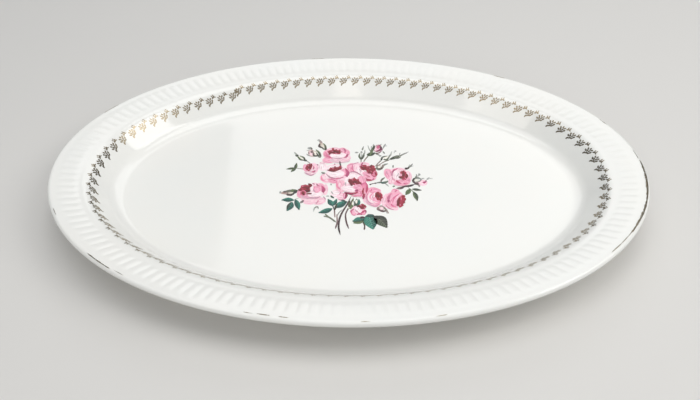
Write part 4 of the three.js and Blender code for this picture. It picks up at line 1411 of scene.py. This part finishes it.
paint_bud(
    "bud_beside_rose",
    dab(19.4, 18.1, 2.6, 2.4, 0, CREAM, TAN),
    stroke((21.6, 19.2), (23.4, 20.6), (25.4, 21.4), widths=(1.0, 1.4, 0.4), first=GREY_OLIVE, last=LEAD),
    stroke((17.6, 18.4), (18.6, 19.8), (20.6, 20.2), widths=(1.2, 1.2, 0.8), first=GREY_OLIVE, last=DUSTY),
    stroke((21.2, 17.2), (21.8, 19.0), (22.0, 20.6), widths=(1.5, 1.6, 0.8), first=GREY_OLIVE, last=DUSTY),
    stroke((17.4, 18.0), (19.0, 16.0), (21.6, 17.6), widths=(1.4, 2.0, 1.6), first=GREY_OLIVE, last=BROWN),
    dab(28.4, 18.8, 1.0, 2.6, -5, GREY_OLIVE, LEAD),
)

# %% Buds at the right
paint_bud(
    "bud_above_right_rose",
    stroke((39.2, 18.4), (40.2, 18.8), (41.8, 19.4), widths=(0.8, 1.0, 0.3), first=LEAD, last=SMOKE),
    stroke((38.6, 18.4), (38.9, 19.4), (39.2, 20.8), widths=(0.5, 0.8, 0.3), first=LEAD, last=SMOKE),
    stroke((38.2, 17.8), (39.6, 19.0), (41.4, 21.4), widths=(1.2, 1.5, 0.4), first=GREY_OLIVE, last=LEAD),
    stroke((36.4, 16.4), (37.8, 17.0), (38.6, 18.0), widths=(1.6, 1.6, 1.0), first=BROWN, last=BLACK_LEAF),
    dab(36.7, 16.7, 2.0, 2.0, 20, DARK_BROWN, BROWN),
)
paint_bud(
    "bud_right",
    dab(46.4, 3.8, 6.2, 4.8, 20, PALE, LIGHT),
    dab(42.4, 6.0, 3.2, 2.6, 15, CREAM, SMOKE),
    stroke((46.0, 7.4), (46.8, 7.6), (47.8, 7.8), widths=(1.0, 1.2, 0.4), first=LEAD, last=SMOKE),
    stroke((42.0, 8.4), (42.8, 9.8), (42.8, 11.8), widths=(1.0, 0.9, 0.3), first=GREY_OLIVE, last=LEAD),
    stroke((43.4, 9.4), (44.0, 10.2), (44.6, 11.0), widths=(0.5, 0.8, 0.4), first=LEAD, last=LEAD),
    dab(44.7, 11.2, 1.7, 2.2, 0, LEAD, SMOKE),
    stroke((43.0, 2.6), (43.8, 1.2), (44.0, 0.0), widths=(1.2, 1.4, 0.4), first=DUSTY, last=LEAD),
    dab(42.4, 3.0, 3.0, 2.4, -20, BROWN, BROWN),
    stroke((45.8, 6.8), (44.0, 4.8), (41.6, 4.0), widths=(0.8, 1.1, 0.8), first=LEAD, last=DUSTY),
    stroke((41.0, 7.6), (43.6, 8.1), (46.0, 6.6), widths=(1.0, 1.5, 0.8), first=DARK_OLIVE, last=LEAD),
    stroke((41.6, 3.2), (40.3, 5.4), (41.4, 8.0), widths=(1.5, 1.5, 1.2), first=BROWN, last=BLACK_LEAF),
    stroke((47.2, 4.0), (48.3, 5.0), (48.7, 6.2), widths=(1.2, 1.1, 0.4), first=PLUM, last=LEAD),
    dab(47.3, 4.0, 2.2, 1.8, 20, PLUM, DEEP),
    stroke((49.0, 6.6), (50.0, 7.4), (51.0, 8.7), widths=(0.6, 1.4, 0.4), first=LEAD, last=SMOKE),
    stroke((50.4, 7.4), (51.6, 7.6), (53.0, 7.4), widths=(0.5, 0.8, 0.3), first=SMOKE, last=SMOKE),
)

# %% Buds at the far left and low down
paint_bud(
    "bud_left",
    dab(-36.5, -4.6, 6.2, 5.0, -5, GREY_OLIVE, DARK_OLIVE),
    stroke((-38.4, -5.6), (-40.4, -5.0), (-42.6, -5.2), widths=(2.0, 2.4, 1.2), first=DUSTY, last=TAN),
    stroke((-38.2, -5.0), (-36.6, -5.1), (-34.8, -4.7), widths=(0.9, 1.7, 0.5), first=TAN, last=CREAM),
    stroke((-34.0, -5.2), (-36.0, -6.7), (-39.0, -6.5), widths=(0.8, 1.8, 1.2),
           first=BLACK_LEAF, last=BROWN),
    stroke((-37.4, -2.8), (-39.0, -3.8), (-41.2, -4.2), widths=(1.4, 1.7, 1.3),
           first=GREY_OLIVE, last=BROWN),
    stroke((-31.8, -3.4), (-33.8, -3.2), (-36.4, -2.6), widths=(1.4, 2.4, 2.0),
           first=BLACK_LEAF, last=OLIVE),
    dab(-33.6, -4.3, 2.2, 2.4, 0, BLACK_LEAF, BLACK_LEAF),
    dab(-42.8, -4.6, 1.4, 2.2, 0, LEAD, SMOKE),
)
paint_bud(
    "bud_twig",
    stroke((12.6, 2.0), (14.6, 3.0), (16.8, 3.4), widths=(0.9, 0.5, 0.8), first=BROWN, last=BROWN),
    dab(13.2, 2.3, 1.3, 1.1, 20, DARK_BROWN, BROWN),
    dab(14.8, 3.0, 1.0, 0.8, 20, DARK_BROWN, BROWN),
    dab(16.5, 3.4, 1.4, 1.2, 0, DARK_BROWN, BROWN),
    stroke((16.6, 3.5), (18.6, 4.0), (21.0, 4.2), widths=(0.7, 1.2, 1.7), first=LEAD, last=DARK_OLIVE),
    dab(25.9, 4.0, 2.4, 3.2, 0, MAUVE, LIGHT),
    stroke((20.0, 3.6), (22.4, 4.0), (25.2, 5.6), widths=(1.5, 2.1, 0.5), first=DEEP_TEAL, last=GREY_OLIVE),
    stroke((19.8, 4.8), (21.0, 7.0), (22.8, 8.6), widths=(0.6, 1.4, 0.4), first=BROWN, last=GREY_OLIVE),
    stroke((22.6, 3.0), (23.8, 1.8), (24.8, 0.2), widths=(0.4, 1.0, 0.3), first=LEAD, last=SMOKE),
    dab(27.9, 0.6, 1.8, 1.2, 30, GREY_OLIVE, LEAD),
)
paint_bud(
    "bud_bottom_right",
    dab(19.5, -18.2, 3.2, 3.2, 0, PALE, TAN),
    stroke((18.0, -16.6), (19.6, -16.1), (21.2, -17.4), widths=(0.9, 0.9, 0.5), first=DUSTY, last=LEAD),
    stroke((17.7, -16.8), (17.2, -18.8), (18.8, -20.0), widths=(1.2, 1.5, 1.4), first=DUSTY, last=BROWN),
    stroke((18.4, -20.0), (20.4, -20.5), (22.2, -20.0), widths=(1.3, 1.6, 0.8), first=BROWN, last=BROWN),
    stroke((20.8, -17.0), (22.2, -19.4), (23.8, -22.6), widths=(0.8, 1.3, 0.4),
           first=GREY_OLIVE, last=DUSTY),
    stroke((22.0, -20.6), (22.6, -21.6), (22.6, -22.8), widths=(0.8, 0.9, 0.3), first=LEAD, last=SMOKE),
)
print("13 buds painted")

# %% [markdown]
# ## The leaves
#
# Rose leaves, with a midrib and side ribs. Those in the light are teal, those in shade are olive, and
# the biggest, which lies under the last rose, is nearly black. One half of a leaf is always darker
# than the other, so that it seems folded along its rib.

# %% Leaves
paint_leaves(
    "leaves_far_left",
    stroke((-34.2, 17.2), (-31.4, 16.7), (-29.2, 16.4), widths=(0.5, 0.7, 0.8), first=LEAD, last=DUSTY),
    leaf((-34.3, 17.4), (-37.4, 13.6), 2.2, DARK_OLIVE, OLIVE, BLACK_LEAF, ribs=0),
    leaf((-34.9, 15.6), (-33.9, 22.4), 2.1, DARK_OLIVE, OLIVE, BLACK_LEAF, ribs=0),
    leaf((-34.9, 17.5), (-40.6, 16.2), 1.9, DARK_OLIVE, OLIVE, BLACK_LEAF, ribs=0),
)
paint_leaves(
    "leaves_lower_left",
    stroke((-34.4, -11.8), (-33.0, -10.4), (-31.0, -9.5), widths=(0.6, 0.6, 0.4), first=LEAD, last=SMOKE),
    stroke((-30.2, -13.8), (-29.2, -12.8), (-28.0, -11.2), widths=(0.5, 1.9, 0.8), first=LEAD, last=BROWN),
    leaf((-33.8, -11.2), (-41.8, -11.1), 3.6, DEEP_TEAL, TEAL, DEEP_TEAL, bend=-1.2),
    leaf((-35.0, -12.6), (-37.8, -20.4), 4.2, DEEP_TEAL, BLACK_LEAF, TEAL, bend=1.6),
    leaf((-33.2, -10.6), (-30.3, -19.6), 3.4, TEAL, DEEP_TEAL, DEEP_TEAL, bend=0.6),
    stroke((-21.7, -21.2), (-21.2, -18.2), (-20.0, -16.8), widths=(0.3, 0.9, 0.9),
           first=SMOKE, last=GREY_OLIVE),
    stroke((-20.2, -16.8), (-19.2, -17.2), (-18.8, -18.6), widths=(0.9, 1.0, 0.4),
           first=GREY_OLIVE, last=LEAD),
)
paint_leaves(
    "leaves_lower_middle",
    stroke((-10.2, -15.6), (-9.7, -17.6), (-9.1, -19.4), widths=(0.8, 0.6, 0.7),
           first=DEEP_TEAL, last=BROWN),
    leaf((-10.1, -16.2), (-13.2, -10.2), 3.6, DEEP_TEAL, TEAL, DEEP_TEAL, bend=-0.4, ribs=3),
    leaf((-10.0, -16.0), (-7.6, -10.2), 2.6, TEAL, DEEP_TEAL, DEEP_TEAL, ribs=3),
    leaf((-10.2, -18.2), (-18.8, -21.8), 3.8, DEEP_TEAL, TEAL, DEEP_TEAL, bend=1.6),
    leaf((-8.8, -17.6), (-1.2, -12.4), 4.6, TEAL, DEEP_TEAL, DEEP_TEAL, bend=0.6),
    stroke((-5.2, -11.8), (-3.4, -11.8), (-2.0, -13.6), widths=(0.4, 1.3, 0.6),
           first=DEEP_TEAL, last=BLACK_LEAF),
    stroke((-8.9, -19.6), (-8.3, -17.0), (-7.6, -14.4), widths=(0.9, 1.5, 0.5),
           first=BLACK_LEAF, last=DARK_OLIVE),
)
paint_leaves(
    "leaves_right",
    stroke((36.6, -0.4), (38.4, -2.2), (40.0, -4.6), widths=(0.4, 0.7, 0.6), first=LEAD, last=OLIVE),
    leaf((38.0, -1.6), (34.7, -7.0), 3.1, OLIVE, OLIVE, DARK_OLIVE, bend=0.8, ribs=3),
    leaf((39.0, -1.8), (45.2, -2.9), 2.2, DARK_OLIVE, GREY_OLIVE, BLACK_LEAF, ribs=3),
    leaf((39.8, -4.0), (41.7, -12.2), 3.0, DARK_OLIVE, OLIVE, BLACK_LEAF, bend=1.2, ribs=3),
)
paint_leaves(
    "leaf_bottom_dark",
    leaf((15.4, -24.6), (22.2, -34.0), 7.6, BLACK_LEAF, DARK_OLIVE, GREY_OLIVE, bend=2.4, ribs=6,
         fullest=0.36),
    dab(16.4, -25.4, 4.0, 2.6, -10, BLACK_LEAF, BLACK_LEAF),
)
paint_leaves(
    "leaf_bottom_teal",
    leaf((11.4, -22.8), (13.9, -35.2), 8.8, DEEP_TEAL, TEAL, LIGHT_TEAL, bend=-0.4, ribs=6, fullest=0.42),
    dab(12.4, -24.2, 5.0, 2.4, 5, DEEP_TEAL, BLACK_LEAF),
)
paint_leaves(
    "leaf_bottom_green",
    leaf((8.8, -27.2), (1.6, -28.6), 5.4, DARK_OLIVE, TEAL, DEEP_TEAL, bend=0.3, ribs=4),
    stroke((2.0, -29.9), (5.4, -30.0), (8.4, -28.6), widths=(0.6, 1.4, 0.6), first=OLIVE, last=OLIVE),
    dab(7.6, -25.6, 3.2, 1.8, 0, DARK_BROWN, BROWN),
)
painted(
    "sepals_under_the_centre", 0.5, leaf_enamel, "green_enamel", [],
    stroke((0.6, -18.6), (-0.3, -15.0), (0.5, -11.6), widths=(1.4, 1.3, 0.4), first=OLIVE, last=DARK_OLIVE),
    stroke((1.7, -18.8), (1.3, -14.4), (2.6, -9.6), widths=(2.4, 2.2, 0.5), first=OLIVE, last=OLIVE),
    stroke((4.0, -17.8), (4.6, -14.0), (4.4, -10.0), widths=(1.6, 2.6, 0.6),
           first=DARK_OLIVE, last=DEEP_TEAL),
    stroke((5.4, -16.4), (6.0, -13.0), (5.8, -10.4), widths=(1.0, 1.5, 0.5), first=DEEP_TEAL, last=TEAL),
    stroke((3.0, -18.0), (3.3, -15.0), (3.0, -12.0), widths=(1.0, 1.0, 0.3),
           first=BLACK_LEAF, last=DARK_OLIVE),
    stroke((1.9, -15.6), (1.9, -14.0), (2.1, -12.4), widths=(0.5, 0.9, 0.4), first=CREAM, last=CREAM),
    stroke((4.2, -14.2), (4.3, -12.8), (4.6, -11.0), widths=(0.6, 1.3, 0.7), first=CREAM, last=CREAM),
    dab(-0.4, -17.8, 0.9, 1.6, 0, CREAM, OLIVE),
)
print("leaves painted")

# %% [markdown]
# ## The stems
#
# The cut stems come together under the bouquet and part again below. They are painted last, over the
# leaves and petals that they cross, each as one long stroke that darkens towards the cut.

# %% Stems
paint_stem(
    "stem_leafy", 0.4,
    stroke((-9.1, -18.8), (-8.9, -22.4), (-8.7, -25.6), widths=(0.7, 0.8, 0.7), first=BROWN, last=DUSTY),
    stroke((-4.2, -19.0), (-6.4, -21.8), (-7.6, -25.0), widths=(0.4, 0.6, 0.6), first=LEAD, last=LEAD),
    stroke((-15.6, -24.4), (-12.0, -25.6), (-8.0, -29.4), widths=(0.9, 1.1, 1.0),
           first=GREY_OLIVE, last=GREY_OLIVE),
    stroke((-14.6, -22.8), (-13.6, -24.0), (-12.0, -25.4), widths=(0.9, 0.9, 0.6),
           first=OLIVE, last=GREY_OLIVE),
    stroke((-7.7, -22.8), (-7.4, -26.0), (-7.4, -30.0), (-8.4, -34.5), widths=(0.5, 0.8, 0.9, 1.0),
           first=DUSTY, last=BROWN),
)
paint_stem(
    "stem_right", 0.6,
    stroke((2.4, -9.4), (-0.2, -17.0), (-2.2, -22.4), (-2.2, -27.0), (-1.5, -31.0), (-0.4, -34.6),
           widths=(0.6, 0.9, 0.8, 1.0, 1.0, 0.9), first=BROWN, last=BROWN),
    stroke((-2.6, -18.2), (-4.0, -20.6), (-5.0, -23.6), widths=(0.6, 1.0, 0.6),
           first=DARK_OLIVE, last=BROWN),
)
paint_stem(
    "stem_main", 0.8,
    stroke((1.1, -8.0), (-1.4, -15.0), (-4.6, -22.0), (-6.2, -28.0), (-6.4, -34.0), (-5.4, -39.3),
           widths=(0.6, 0.9, 1.1, 1.2, 1.1, 1.1), first=BROWN, last=DARK_BROWN),
)
paint_stem(
    "stem_short", 0.4,
    stroke((8.0, -29.0), (8.9, -32.0), (8.6, -35.5), widths=(1.2, 0.9, 1.0), first=DARK_OLIVE, last=BROWN),
)
painted(
    "branch_at_the_right", 0.4, stem_enamel, "stem_enamel", [],
    stroke((29.4, -1.2), (32.4, -0.8), (34.6, 0.5), (37.6, 0.9), (41.2, 2.4),
           widths=(1.7, 2.1, 1.3, 1.7, 1.3), first=BROWN, last=DARK_BROWN),
    stroke((30.0, -0.9), (31.0, -0.9), (32.0, -0.8), widths=(0.4, 0.8, 0.4), first=DUSTY, last=DUSTY),
)
for blank in (dab_blank, blade_blank, stroke_blank):
    bpy.data.objects.remove(blank)
print("stems painted")

# %% The table
bpy.ops.object.select_all(action="DESELECT")
bpy.ops.mesh.primitive_plane_add(size=6)
table = bpy.context.object
table.name = "pale_table"
table_material, table_tree, table_shader = new_material("matt_pale_board")
feed(table_tree, table_shader, {"Base Color": linear("#D8D6D2"), "Roughness": 0.8})
table.data.materials.append(table_material)
